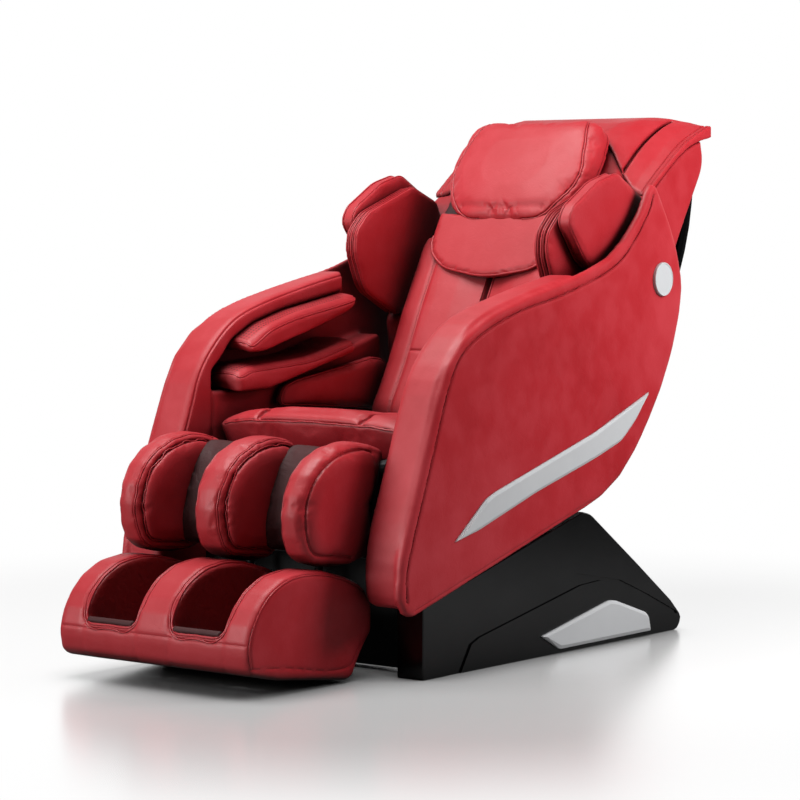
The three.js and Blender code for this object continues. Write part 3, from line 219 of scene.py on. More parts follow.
@contextmanager
def editing(mesh: bpy.types.Mesh) -> Iterator[bmesh.types.BMesh]:
    """Opens a mesh as a working one, and writes that back to it at the end."""
    work = bmesh.new()
    work.from_mesh(mesh)
    yield work
    work.to_mesh(mesh)
    work.free()


def baked(name: str, work: bmesh.types.BMesh) -> bpy.types.Mesh:
    """A named mesh from a working one, which is freed."""
    mesh = bpy.data.meshes.new(name)
    work.to_mesh(mesh)
    work.free()
    return mesh


def in_scene(name: str, data: bpy.types.ID) -> bpy.types.Object:
    """Puts a new object into the scene."""
    obj = bpy.data.objects.new(name, data)
    bpy.context.scene.collection.objects.link(obj)
    return obj


def outcome(name: str, obj: bpy.types.Object) -> bpy.types.Mesh:
    """The mesh that an object's modifiers or its curve give.

    Args:
        name: the new mesh's name.
        obj: the object, which is removed with its own data.

    Returns:
        The new mesh.
    """
    data = obj.data
    graph = bpy.context.evaluated_depsgraph_get()
    graph.update()
    mesh = bpy.data.meshes.new_from_object(obj.evaluated_get(graph))
    mesh.name = name
    bpy.data.objects.remove(obj)
    store = bpy.data.curves if isinstance(data, bpy.types.Curve) else bpy.data.meshes
    store.remove(data)
    return mesh


def mesh_tree(mesh: bpy.types.Mesh) -> BVHTree:
    """A search tree over a mesh's faces."""
    work = bmesh.new()
    work.from_mesh(mesh)
    tree = BVHTree.FromBMesh(work)
    work.free()
    return tree


def onto(points: Path, tree: BVHTree, lift: float = 0.0) -> Path:
    """Lays a path on a surface, lifted along the surface's normals."""
    out = []
    for p in points:
        place, normal, _, _ = tree.find_nearest(p)
        out.append(place + normal * lift)
    return out


def coordinates(mesh: bpy.types.Mesh) -> np.ndarray:
    """A mesh's vertex places as an array."""
    flat = np.empty(len(mesh.vertices) * 3)
    mesh.vertices.foreach_get("co", flat)
    return flat.reshape(-1, 3)


def vertex_normals(mesh: bpy.types.Mesh) -> np.ndarray:
    """A mesh's vertex normals as an array."""
    flat = np.empty(len(mesh.vertices) * 3, np.float32)
    mesh.vertex_normals.foreach_get("vector", flat)
    return flat.reshape(-1, 3).astype(float)


def set_coordinates(mesh: bpy.types.Mesh, places: np.ndarray) -> None:
    """Writes vertex places back to a mesh."""
    mesh.vertices.foreach_set("co", places.astype(np.float32).ravel())
    mesh.update()


def smoothed(mesh: bpy.types.Mesh) -> bpy.types.Mesh:
    """The same mesh, with all its faces shaded smooth."""
    mesh.polygons.foreach_set("use_smooth", [True] * len(mesh.polygons))
    return mesh


def cad_copy(nodes: Iterable[str], grow: float = 0.0) -> bmesh.types.BMesh:
    """Copies CAD nodes into one mesh, with their doubles merged.

    Args:
        nodes: the nodes' names.
        grow: how far the surface moves out, in metres, so that touching nodes overlap.

    Returns:
        The new mesh.
    """
    work = bmesh.new()
    for node in nodes:
        work.from_mesh(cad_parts[node].data)
    bmesh.ops.remove_doubles(work, verts=work.verts, dist=MERGE)
    if grow:
        work.normal_update()
        for vert in work.verts:
            vert.co += vert.normal * grow
    return work


def slab(points: Path, push: Vector) -> bmesh.types.BMesh:
    """A closed solid between a flat face and the same face pushed away.

    Args:
        points: the face's border, in metres.
        push: the way to the other face, in metres.

    Returns:
        The closed mesh.
    """
    work = bmesh.new()
    face = work.faces.new([work.verts.new(p) for p in points])
    pushed = bmesh.ops.extrude_face_region(work, geom=[face])
    moved = [g for g in pushed["geom"] if isinstance(g, bmesh.types.BMVert)]
    bmesh.ops.translate(work, verts=moved, vec=push)
    bmesh.ops.recalc_face_normals(work, faces=work.faces)
    return work


def blank(outline: Sequence[tuple[float, float]], near: float, far: float) -> bmesh.types.BMesh:
    """A flat-faced solid of a side outline between two places across the chair.

    Args:
        outline: the (y, z) points of the side view.
        near: the X of one face.
        far: the X of the other.

    Returns:
        The closed mesh.
    """
    return slab([at(near, y, z) for y, z in outline], Vector(((far - near) * MM, 0, 0)))


@dataclass(frozen=True)
class Filling:
    """How a pad is shaped from its blank, in millimetres.

    Attributes:
        voxel: the mesh's pitch.
        relax: rounds of smoothing, which round the edges.
        slack: how much smaller than its blank the pad starts.
        swell: the most that the filling pushes a point out; 0 leaves the pad unfilled.
        fill: how tightly it is stuffed, from 0 to 1; not used.
    """

    voxel: float = 5.0
    relax: int = 8
    slack: float = 0.0
    swell: float = 0.0
    fill: float = 0.8


def remeshed(name: str, work: bmesh.types.BMesh, filling: Filling) -> bpy.types.Mesh:
    """An even, rounded mesh from a closed blank.

    Args:
        name: the mesh's name.
        work: the closed blank, which is freed.
        filling: its pitch, smoothing and slack.

    Returns:
        The mesh.
    """
    obj = in_scene(name + "_start", baked(name + "_start", work))
    remesh = obj.modifiers.new("even", "REMESH")
    remesh.mode = "VOXEL"
    remesh.voxel_size = filling.voxel * MM
    smooth = obj.modifiers.new("round", "SMOOTH")
    smooth.factor = 0.5
    smooth.iterations = filling.relax
    if filling.slack:
        draw_in = obj.modifiers.new("slack", "DISPLACE")
        draw_in.strength = -filling.slack * MM
        draw_in.mid_level = 0
    return outcome(name, obj)


CLOTH = {
    "quality": 4, "mass": 0.3, "tension_stiffness": 12, "compression_stiffness": 12,
    "bending_stiffness": 0.8, "use_pressure": True, "uniform_pressure_force": 4.0,
}
CLOTH_FRAMES = 20


def filled(pads: Sequence[tuple[bpy.types.Mesh, Filling]]) -> None:
    """Blows up several pads at once as pressed cloth, in place.

    Args:
        pads: each pad's mesh and filling; its points move out by the swell at most.
    """
    scene = bpy.context.scene
    objects = []
    for mesh, _ in pads:
        obj = in_scene(mesh.name + "_cloth", mesh.copy())
        cloth = obj.modifiers.new("filling", "CLOTH")
        for name, value in CLOTH.items():
            setattr(cloth.settings, name, value)
        cloth.settings.effector_weights.gravity = 0
        cloth.collision_settings.use_collision = False
        cloth.point_cache.frame_start = 1
        cloth.point_cache.frame_end = CLOTH_FRAMES
        objects.append(obj)
    for step in range(1, CLOTH_FRAMES + 1):
        scene.frame_set(step)
    graph = bpy.context.evaluated_depsgraph_get()
    for obj, (mesh, filling) in zip(objects, pads, strict=True):
        rest = coordinates(mesh)
        shift = coordinates(obj.evaluated_get(graph).data) - rest
        reach = np.linalg.norm(shift, axis=1, keepdims=True)
        most = filling.swell * MM
        scale = most * np.tanh(reach / most) / np.maximum(reach, TINY)
        set_coordinates(mesh, rest + shift * scale)
        used = obj.data
        bpy.data.objects.remove(obj)
        bpy.data.meshes.remove(used)
    scene.frame_set(1)


NEAR_PATH = 0.03
PAIRS_AT_ONCE = 4_000_000


def to_segments(places: np.ndarray, start: np.ndarray, end: np.ndarray) -> np.ndarray:
    """How far each place is from the nearest of many straight segments.

    Args:
        places: the places, one to a row.
        start: where the segments start, one to a row.
        end: where they end.

    Returns:
        Each place's distance.
    """
    p = places[:, None, :]
    run = end - start
    t = ((p - start) * run).sum(-1) / np.maximum((run * run).sum(-1), TINY_SQUARE)
    foot = start + np.clip(t, 0, 1)[..., None] * run
    return np.sqrt(((p - foot) ** 2).sum(-1)).min(axis=1)


def distance_to(places: np.ndarray, path: Path, closed: bool) -> np.ndarray:
    """How far each place is from a path, where it is near it.

    Args:
        places: the places, one to a row.
        path: the path's close points.
        closed: whether the path runs round.

    Returns:
        Each place's distance in metres, infinite where it is beyond NEAR_PATH.
    """
    line = np.array([list(p) for p in path])
    start = line if closed else line[:-1]
    end = np.roll(line, -1, axis=0) if closed else line[1:]
    best = np.full(len(places), np.inf)
    low, high = line.min(0) - NEAR_PATH, line.max(0) + NEAR_PATH
    near = np.where(((places > low) & (places < high)).all(axis=1))[0]
    for chunk in np.array_split(near, max(1, len(near) * len(start) // PAIRS_AT_ONCE)):
        best[chunk] = to_segments(places[chunk], start, end)
    return best


@dataclass
class Seam:
    """A sewn line on a pad.

    Attributes:
        path: its points, near the pad's surface, in metres.
        closed: whether it runs round.
        depth: how far the valley goes in, in millimetres.
        width: the valley's half width, in millimetres.
        piping: the radius of the cord along it, in millimetres; 0 for none.
        proud: how far the cord's centre stands off the valley, in millimetres.
        stitch: how far to its side a row of stitches runs, in millimetres; 0 for none.
        lining: whether its cord is a roll of the lining, coloured with the dark lining finish that
            is painted shade.
    """

    path: Path
    closed: bool = False
    depth: float = 3.0
    width: float = 3.5
    piping: float = 0.0
    proud: float = 0.4
    stitch: float = 0.0
    lining: bool = False


PATH_PITCH = 0.005
REFINE_WITHIN = 2.2
FAR_AWAY = 9
SIDE_FACING, SIDE_BLEND = 0.6, 0.3


def sewn(mesh: bpy.types.Mesh, seams: Sequence[Seam]) -> None:
    """Presses valleys into a pad along its seams, with finer faces beside them.

    Args:
        mesh: the pad's mesh, changed in place.
        seams: the seams; each path is laid on the pad's surface first.
    """
    if not seams:
        return
    tree = mesh_tree(mesh)
    for seam in seams:
        laid = onto(even(seam.path, PATH_PITCH, seam.closed), tree)
        seam.path = softened(laid, 3, seam.closed)
    valleys = [seam for seam in seams if seam.depth]
    for _ in range(2):
        places = coordinates(mesh)
        close = np.zeros(len(places), bool)
        for seam in valleys:
            reach = REFINE_WITHIN * seam.width * MM
            close |= distance_to(places, seam.path, seam.closed) < reach
        with editing(mesh) as work:
            work.verts.ensure_lookup_table()
            edges = [e for e in work.edges if all(close[v.index] for v in e.verts)]
            bmesh.ops.subdivide_edges(work, edges=edges, cuts=1, use_grid_fill=True)
    for seam in valleys:
        places = coordinates(mesh)
        away = distance_to(places, seam.path, seam.closed) / (seam.width * MM)
        valley = seam.depth * MM * np.exp(-np.minimum(away, FAR_AWAY) ** 2)
        set_coordinates(mesh, places - vertex_normals(mesh) * valley[:, None])


def bulged(mesh: bpy.types.Mesh, border: Path, height: float, reach: float) -> None:
    """Raises the side faces of a pad inside a border, like a panel stuffed on its own.

    Args:
        mesh: the pad's mesh, changed in place.
        border: the closed border beside the panel.
        height: how far the panel's middle rises.
        reach: how far inside the border it reaches that height.
    """
    places = coordinates(mesh)
    normals = vertex_normals(mesh)
    shape = np.array([(p.y, p.z) for p in border])
    ends = np.roll(shape, -1, axis=0)
    y, z = places[:, 1:2], places[:, 2:3]
    spans = (shape[:, 1] > z) != (ends[:, 1] > z)
    rise = np.where(ends[:, 1] == shape[:, 1], TINY, ends[:, 1] - shape[:, 1])
    crossing = shape[:, 0] + (z - shape[:, 1]) / rise * (ends[:, 0] - shape[:, 0])
    within = (spans & (y < crossing)).sum(axis=1) % 2 == 1
    deep = to_segments(places[:, 1:], shape, ends) / (reach * MM)
    facing = np.clip((np.abs(normals[:, 0]) - SIDE_FACING) / SIDE_BLEND, 0, 1)
    share = np.sin(np.clip(deep, 0, 1) * within * facing * math.pi / 2)
    set_coordinates(mesh, places + normals * (share * height * MM)[:, None])


def tube(name: str, path: Path, radius: float, closed: bool, sides: int = 2) -> bpy.types.Mesh:
    """A round cord along a path.

    Args:
        name: the mesh's name.
        path: its centre line, in metres.
        radius: in metres.
        closed: whether it runs round.
        sides: the bevel resolution; the cord has 4 + 2 x this many sides.

    Returns:
        The cord's mesh, with its ends capped.
    """
    curve = bpy.data.curves.new(name + "_line", "CURVE")
    curve.dimensions = "3D"
    curve.bevel_depth = radius
    curve.bevel_resolution = sides
    curve.use_fill_caps = not closed
    spline = curve.splines.new("POLY")
    spline.points.add(len(path) - 1)
    for point, place in zip(spline.points, path, strict=True):
        point.co = (*place, 1)
    spline.use_cyclic_u = closed
    mesh = outcome(name, in_scene(name + "_line", curve))
    with editing(mesh) as work:
        bmesh.ops.remove_doubles(work, verts=work.verts, dist=MERGE)
        bmesh.ops.recalc_face_normals(work, faces=work.faces)
    return mesh


STITCH_PITCH = 0.0075
STITCH_LENGTH = 0.0048
STITCH_RADIUS = 0.0006
STITCH_PROUD = 0.3


def stitches(name: str, path: Path, tree: BVHTree, aside: float, closed: bool) -> bpy.types.Mesh:
    """A row of stitches beside a seam.

    Args:
        name: the mesh's name.
        path: the seam's path, in metres.
        tree: the pad's surface.
        aside: how far to the left of the path the row runs, in metres.
        closed: whether the seam runs round.

    Returns:
        The stitches' mesh.
    """
    work = bmesh.new()
    line = even(path, STITCH_PITCH, closed)
    for i in range(len(line) - (0 if closed else 1)):
        here, there = line[i], line[(i + 1) % len(line)]
        middle = (here + there) / 2
        _, normal, _, _ = tree.find_nearest(middle)
        run = (there - here).normalized()
        side = normal.cross(run).normalized()
        place, up, _, _ = tree.find_nearest(middle + side * aside)
        side = up.cross(run).normalized()
        run = side.cross(up).normalized()
        turn = Matrix((run, side, up)).transposed().to_4x4()
        scale = Matrix.Diagonal((STITCH_LENGTH / 2, STITCH_RADIUS, STITCH_RADIUS, 1))
        bmesh.ops.create_uvsphere(
            work,
            u_segments=6,
            v_segments=4,
            radius=1,
            matrix=Matrix.Translation(place + up * STITCH_RADIUS * STITCH_PROUD) @ turn @ scale,
        )
    return baked(name, work)


# ---- Finishes ----


def linear(red: int, green: int, blue: int) -> Colour:
    """A linear colour from display values of 0 to 255."""

    def curve(value: int) -> float:
        """One channel's linear value."""
        share = value / 255
        return share / 12.92 if share <= 0.04045 else ((share + 0.055) / 1.055) ** 2.4

    return (curve(red), curve(green), curve(blue), 1.0)


class Wiring:
    """Adds and joins the nodes of one node tree."""

    def __init__(self, tree: bpy.types.NodeTree) -> None:
        """Keeps the tree.

        Args:
            tree: the tree that the nodes go into.
        """
        self.tree = tree

    @staticmethod
    def afresh(owner: bpy.types.Material | bpy.types.World) -> "Wiring":
        """Empties the node tree of a material or a world, and takes it on."""
        owner.use_nodes = True
        owner.node_tree.nodes.clear()
        return Wiring(owner.node_tree)

    def node(self, kind: str, **settings: object) -> bpy.types.Node:
        """Adds a node.

        Args:
            kind: the node's type name after ShaderNode.
            settings: its properties, by name.

        Returns:
            The node.
        """
        made = self.tree.nodes.new("ShaderNode" + kind)
        for name, value in settings.items():
            setattr(made, name, value)
        return made

    def put(self, socket: bpy.types.NodeSocket, value: object) -> None:
        """Links an input to another node's output, or gives it a plain value."""
        if isinstance(value, bpy.types.NodeSocket):
            self.tree.links.new(value, socket)
        else:
            socket.default_value = value

    def feed(self, node: bpy.types.Node, **values: object) -> None:
        """Sets or links a node's inputs, named with _ for a space."""
        for name, value in values.items():
            self.put(node.inputs[name.replace("_", " ")], value)

    def shader(self, kind: str, **values: object) -> bpy.types.NodeSocket:
        """A shader's output, from the node's type name and its inputs' values."""
        made = self.node(kind)
        self.feed(made, **values)
        return made.outputs[0]

    def shared(self, group: bpy.types.NodeTree, **values: object) -> bpy.types.NodeSocket:
        """The output of a shared effect with this tree's own values."""
        made = self.node("Group", node_tree=group)
        self.feed(made, **values)
        return made.outputs[0]

    def noise(self, vector: bpy.types.NodeSocket, **values: object) -> bpy.types.NodeSocket:
        """A noise texture's value on a vector."""
        made = self.node("TexNoise")
        self.feed(made, Vector=vector, **values)
        return made.outputs["Fac"]

    def zone(self) -> bpy.types.NodeSocket:
        """A piece's zone attribute."""
        return self.node("Attribute", attribute_name="zone").outputs["Fac"]

    def openness(self, distance: float, samples: int) -> bpy.types.NodeSocket:
        """How open the surroundings are within a distance, from 0 to 1."""
        made = self.node("AmbientOcclusion", samples=samples)
        self.feed(made, Distance=distance)
        return made.outputs["AO"]

    def ranged(
        self, value: bpy.types.NodeSocket, low: float, high: float, start: object, end: object,
        steps: str = "SMOOTHSTEP",
    ) -> bpy.types.NodeSocket:
        """Maps a value's range from low..high to start..end, clamped."""
        made = self.node("MapRange", interpolation_type=steps)
        self.feed(made, Value=value, From_Min=low, From_Max=high, To_Min=start, To_Max=end)
        return made.outputs["Result"]

    def mixed(self, share: object, first: object, second: object) -> bpy.types.NodeSocket:
        """Mixes two colours."""
        made = self.node("Mix", data_type="RGBA")
        for index, value in ((0, share), (6, first), (7, second)):
            self.put(made.inputs[index], value)
        return made.outputs[2]

    def blended(self, share: object, first: object, second: object) -> bpy.types.NodeSocket:
        """Blends two shaders."""
        made = self.node("MixShader")
        for index, value in enumerate((share, first, second)):
            self.put(made.inputs[index], value)
        return made.outputs[0]

    def math(self, operation: str, first: object, second: object = 0.0) -> bpy.types.NodeSocket:
        """One sum on two values."""
        made = self.node("Math", operation=operation)
        for index, value in enumerate((first, second)):
            self.put(made.inputs[index], value)
        return made.outputs[0]


def effect(
    name: str, inputs: dict[str, float | None], output: str
) -> tuple[Wiring, dict[str, bpy.types.NodeSocket], bpy.types.Node]:
    """Starts a shader node group that works on a vector.

    Args:
        name: the group's name.
        inputs: each further input's default, by name; None makes it a colour.
        output: the output's name, which is Colour for a colour.

    Returns:
        The group's wiring, its inputs' sockets by name, and its output node.
    """
    group = bpy.data.node_groups.new(name, "ShaderNodeTree")
    group.interface.new_socket("Vector", in_out="INPUT", socket_type="NodeSocketVector")
    for label, default in inputs.items():
        kind = COLOUR if default is None else VALUE
        socket = group.interface.new_socket(label, in_out="INPUT", socket_type=kind)
        if default is not None:
            socket.default_value = default
    kind = COLOUR if output == "Colour" else VALUE
    group.interface.new_socket(output, in_out="OUTPUT", socket_type=kind)
    start, end = (group.nodes.new("NodeGroup" + way) for way in ("Input", "Output"))
    return Wiring(group), {label: start.outputs[label] for label in ("Vector", *inputs)}, end


VALUE, COLOUR = "NodeSocketFloat", "NodeSocketColor"


class Effects:
    """The effects that several finishes share, as node groups."""

    def __init__(self) -> None:
        """Builds each group once."""
        self.mottle = self._mottle()
        self.grain = self._grain()
        self.polish = self._polish()

    @staticmethod
    def _mottle() -> bpy.types.NodeTree:
        """Cloudy shifts between a colour, a lighter and a darker one."""
        tones = {"Colour": None, "Light": None, "Dark": None}
        w, given, end = effect("mottle", {"Scale": 3.0, **tones, "Amount": 0.5}, "Colour")
        vector, scale = given["Vector"], given["Scale"]
        cloud = w.noise(vector, Scale=scale, Detail=5.0, Roughness=0.62)
        fine = w.noise(vector, Scale=w.math("MULTIPLY", scale, 7.0), Detail=3.0)
        light, dark, shade = (
            w.math("MULTIPLY", w.ranged(value, low, high, 0.0, most), given["Amount"])
            for value, low, high, most in (
                (cloud, 0.5, 0.72, 1.0), (cloud, 0.5, 0.3, 1.0), (fine, 0.35, 0.7, 0.5)
            )
        )
        colour = w.mixed(light, given["Colour"], given["Light"])
        colour = w.mixed(dark, colour, given["Dark"])
        w.feed(end, Colour=w.mixed(shade, colour, given["Light"]))
        return w.tree

    @staticmethod
    def _grain() -> bpy.types.NodeTree:
        """The height of a hide's pebbles and soft creases."""
        inputs = {"Pebbles": 520.0, "Creases": 28.0, "Crease Depth": 0.6}
        w, given, end = effect("hide_grain", inputs, "Height")
        vector = given["Vector"]
        cells = w.node("TexVoronoi", feature="SMOOTH_F1")
        w.feed(cells, Vector=vector, Scale=given["Pebbles"])
        soft = w.noise(
            vector, Scale=given["Creases"], Detail=6.0, Roughness=0.6, Distortion=0.9
        )
        crease = w.math("ABSOLUTE", w.math("SUBTRACT", soft, 0.5))
        crease = w.ranged(crease, 0.0, 0.06, 0.0, 1.0)
        crease = w.math("MULTIPLY", crease, given["Crease Depth"])
        pebble = w.math("MULTIPLY", cells.outputs["Distance"], 0.35)
        w.feed(end, Height=w.math("ADD", pebble, crease))
        return w.tree

    @staticmethod
    def _polish() -> bpy.types.NodeTree:
        """A roughness that drifts over the surface."""
        w, given, end = effect("polish", {"Scale": 9.0, "Smooth": 0.35, "Rough": 0.5}, "Roughness")
        cloud = w.noise(given["Vector"], Scale=given["Scale"], Detail=4.0)
        rough = w.ranged(cloud, 0.3, 0.7, given["Smooth"], given["Rough"], "LINEAR")
        w.feed(end, Roughness=rough)
        return w.tree


# The reach and the range of the painted shade that ambient occlusion puts into hollows.
PAINTED_SHADE_REACH = 0.13
PAINTED_SHADE_FROM_TO = (0.15, 0.9)
HOLE_FROM_TO = (0.2, 0.3)
COAT_ROUGHNESS = 0.08
RUCKS = {"Scale": 34.0, "Detail": 4.0, "Roughness": 0.6, "Distortion": 1.4}
RUCK_HEIGHT = 9.0


@dataclass(frozen=True)
class Finish:
    """A surface of one colour family.

    Attributes:
        name: the material's name.
        colour: its colour.
        light: the colour of worn or dusty patches.
        dark: the colour of deeper patches.
        patches: how strongly the patches show, from 0 to 1.
        patch_scale: patches per metre.
        smooth: the lowest roughness.
        rough: the highest roughness.
        bump: the height of its grain, in metres.
        pebbles: the grain's cells per metre.
        creases: soft creases per metre.
        crease_depth: their share of the grain.
        metallic: 0 or 1.
        coat: the weight of a clear coat.
        holes: the pitch of perforations, in metres; 0 for none.
        hollow: how strongly painted shade darkens its hollows, from 0 to 1.
        deep: the colour of the painted shade in its hollows, and of its holes.
        lining: the colour that shows where the zone attribute is set; None for none.
    """

    name: str
    colour: Colour
    light: Colour
    dark: Colour
    patches: float = 0.4
    patch_scale: float = 3.0
    smooth: float = 0.34
    rough: float = 0.5
    bump: float = 0.0003
    pebbles: float = 520.0
    creases: float = 28.0
    crease_depth: float = 0.3
    metallic: float = 0.0
    coat: float = 0.0
    holes: float = 0.0
    hollow: float = 0.0
    deep: Colour = (0.0, 0.0, 0.0, 1.0)
    lining: Colour | None = None

    def material(self, effects: Effects) -> bpy.types.Material:
        """Builds the finish's material.

        Args:
            effects: the shared node groups.

        Returns:
            The material.
        """
        made = bpy.data.materials.new(self.name)
        w = Wiring.afresh(made)
        place = w.node("TexCoord").outputs["Object"]
        tones = {"Colour": self.colour, "Light": self.light, "Dark": self.dark}
        colour = w.shared(
            effects.mottle, Vector=place, Scale=self.patch_scale, Amount=self.patches, **tones
        )
        cells = {"Pebbles": self.pebbles, "Creases": self.creases}
        height = w.shared(effects.grain, Vector=place, Crease_Depth=self.crease_depth, **cells)
        polish = w.shared(effects.polish, Vector=place, Smooth=self.smooth, Rough=self.rough)
        if self.holes:
            colour, height = self.perforated(w, place, colour, height)
        if self.lining:
            zone = w.zone()
            colour = w.mixed(zone, colour, self.lining)
            ruck = w.math("MULTIPLY", w.noise(place, **RUCKS), RUCK_HEIGHT)
            height = w.math("ADD", height, w.math("MULTIPLY", ruck, zone))
        # Painted shade: ambient occlusion darkens the colour towards deep in hollows, creases and
        # recesses.
        if self.hollow:
            open_share = w.openness(PAINTED_SHADE_REACH, 6)
            open_share = w.ranged(open_share, *PAINTED_SHADE_FROM_TO, 1.0 - self.hollow, 1.0)
            colour = w.mixed(open_share, self.deep, colour)
        bump = w.node("Bump")
        w.feed(bump, Strength=1.0, Distance=self.bump, Height=height)
        values = {"Metallic": self.metallic, "Coat_Weight": self.coat}
        if self.coat:
            values["Coat_Roughness"] = COAT_ROUGHNESS
        normal = bump.outputs["Normal"]
        surface = w.shader(
            "BsdfPrincipled", Base_Color=colour, Roughness=polish, Normal=normal, **values
        )
        w.feed(w.node("OutputMaterial"), Surface=surface)
        return made

    def perforated(
        self,
        w: Wiring,
        place: bpy.types.NodeSocket,
        colour: bpy.types.NodeSocket,
        height: bpy.types.NodeSocket,
    ) -> tuple[bpy.types.NodeSocket, bpy.types.NodeSocket]:
        """Adds rows of small holes where the piece's zone attribute is set.

        Args:
            w: the material's wiring.
            place: the object's coordinates.
            colour: the colour so far.
            height: the height so far.

        Returns:
            The colour and the height with the holes.
        """
        split = w.node("SeparateXYZ")
        w.feed(split, Vector=place)
        squares = []
        for axis in ("X", "Y"):
            cell = w.math("FRACT", w.math("DIVIDE", split.outputs[axis], self.holes))
            squares.append(w.math("POWER", w.math("SUBTRACT", cell, 0.5), 2.0))
        reach = w.math("SQRT", w.math("ADD", *squares))
        hole = w.math("MULTIPLY", w.ranged(reach, *HOLE_FROM_TO, 1.0, 0.0), w.zone())
        return w.mixed(hole, colour, self.deep), w.math("SUBTRACT", height, hole)


def tones(*levels: tuple[int, int, int]) -> list[Colour]:
    """The linear colours of several display ones."""
    return [linear(*level) for level in levels]


# The red hide: deep is the colour of painted shade in its hollows, and of its perforations.
RED = {
    "colour": linear(172, 34, 42),
    "light": linear(188, 60, 68),
    "dark": linear(156, 22, 29),
    "deep": linear(36, 1, 3),
    "hollow": 0.96,
    "smooth": 0.44,
    "rough": 0.58,
}
WELL_LINING = linear(124, 10, 15)


class Coat(Enum):
    """Every finish on the chair."""

    HIDE = Finish("red_hide", **RED)
    SHELL = Finish("red_hide_shell", **RED, patches=0.7, patch_scale=2.2)
    WELLS = Finish("red_hide_wells", **RED, lining=WELL_LINING)
    # A dark copy of the red hide that is painted shade. The channels between the calf ridges, the
    # sheet behind the pillow and the rolls at the wells' lips wear it.
    LINING = Finish(
        "red_lining", *tones((58, 3, 5), (68, 5, 7), (46, 2, 3)), smooth=0.6, rough=0.75,
        bump=0.0004, creases=12.0, crease_depth=0.8, hollow=0.95, deep=linear(20, 1, 2),
    )
    PERFORATED = Finish("red_hide_perforated", **RED, holes=0.0085)
    # The piping also gets painted shade in its hollows, towards its deep colour.
    PIPING = Finish(
        "red_piping", *tones((168, 34, 42), (186, 58, 66), (144, 18, 24)), smooth=0.3,
        hollow=0.85, deep=linear(46, 2, 4),
    )
    THREAD = Finish("red_thread", *tones((150, 22, 26), (176, 44, 48), (120, 12, 14)), rough=0.7)
    GLOSS = Finish(
        "black_gloss", *tones((7, 7, 8), (14, 14, 15), (3, 3, 3)), patches=0.3, smooth=0.14,
        rough=0.24, bump=0.00002, crease_depth=0.1, coat=0.15,
    )
    SILVER = Finish(
        "satin_silver", *tones((210, 211, 213), (222, 223, 225), (196, 197, 200)), patches=0.25,
        smooth=0.36, rough=0.46, bump=0.00002, pebbles=1400.0, crease_depth=0.05, metallic=0.2,
    )
    STEEL = Finish(
        "dark_steel", *tones((20, 20, 21), (34, 34, 35), (11, 11, 12)), smooth=0.42, rough=0.6,
        bump=0.00008, pebbles=900.0, crease_depth=0.05, metallic=0.4,
    )
    NYLON = Finish(
        "pale_nylon", *tones((206, 204, 198), (222, 220, 214), (182, 180, 172)), smooth=0.4,
        rough=0.55, bump=0.00005, pebbles=900.0, crease_depth=0.05,
    )
    RUBBER = Finish(
        "black_rubber", *tones((26, 26, 27), (48, 47, 46), (14, 14, 14)), smooth=0.6, rough=0.85,
        bump=0.0001, pebbles=800.0, crease_depth=0.1,
    )


class Trim(Enum):
    """What is sewn onto a pad: the ending of its piece's name, and its finish."""

    PIPING = ("_piping", Coat.PIPING)
    ROLL = ("_roll", Coat.LINING)
    STITCHING = ("_stitching", Coat.THREAD)


class Wardrobe:
    """Keeps one material for each finish, and shows pieces in them."""

    def __init__(self) -> None:
        """Builds the shared effects and every finish."""
        effects = Effects()
        self.materials = {coat: coat.value.material(effects) for coat in Coat}

    def dress(self, obj: bpy.types.Object, coat: Coat) -> None:
        """Gives an object a single finish."""
        obj.data.materials.clear()
        obj.data.materials.append(self.materials[coat])

    def show(self, mesh: bpy.types.Mesh, coat: Coat, body: Body, slot: Slot) -> bpy.types.Object:
        """Shows a mesh as a piece of its own.

        Args:
            mesh: the mesh, whose name the piece takes.
            coat: its finish.
            body: the body that it rides on.
            slot: not used.

        Returns:
            The piece.
        """
        obj = in_scene(mesh.name, mesh)
        self.dress(obj, coat)
        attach(obj, body.value)
        return obj


# ---- The workroom, where pads are cut, filled and sewn ----


@dataclass
class Pad:
    """One upholstered piece.

    Attributes:
        name: the piece's name, without its side.
        body: the body that it rides on.
        filling: how it is shaped.
        nodes: the CAD nodes that it stands for, without their side; none for its namesake.
        start: its closed blank; None copies the CAD nodes.
        seams: its seams.
        coat: its finish.
        paired: whether it has a mirror image.
        zone: gives each vertex's share of perforations or lining from its place and normal.
        panel: the closed border of the panels stuffed on their own at its sides.
        panel_height: how far those panels rise.
        mesh: the shaped mesh.
    """

    name: str
    body: Body
    filling: Filling
    nodes: tuple[str, ...] = ()
    start: bmesh.types.BMesh | None = None
    seams: list[Seam] = field(default_factory=list)
    coat: Coat = Coat.HIDE
    paired: bool = False
    zone: Callable[[np.ndarray, np.ndarray], np.ndarray] | None = None
    panel: Path | None = None
    panel_height: float = 0.0
    mesh: bpy.types.Mesh | None = None

    @property
    def side(self) -> str:
        """The ending of the side that is shaped."""
        return "_left" if self.paired else ""

    def covered(self, side: str) -> list[str]:
        """The CAD nodes that the piece at one side stands for."""
        names = self.nodes or (self.name,)
        return [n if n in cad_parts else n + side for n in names]


PANEL_REACH = 34.0
JOINT_OVERLAP = 0.0004


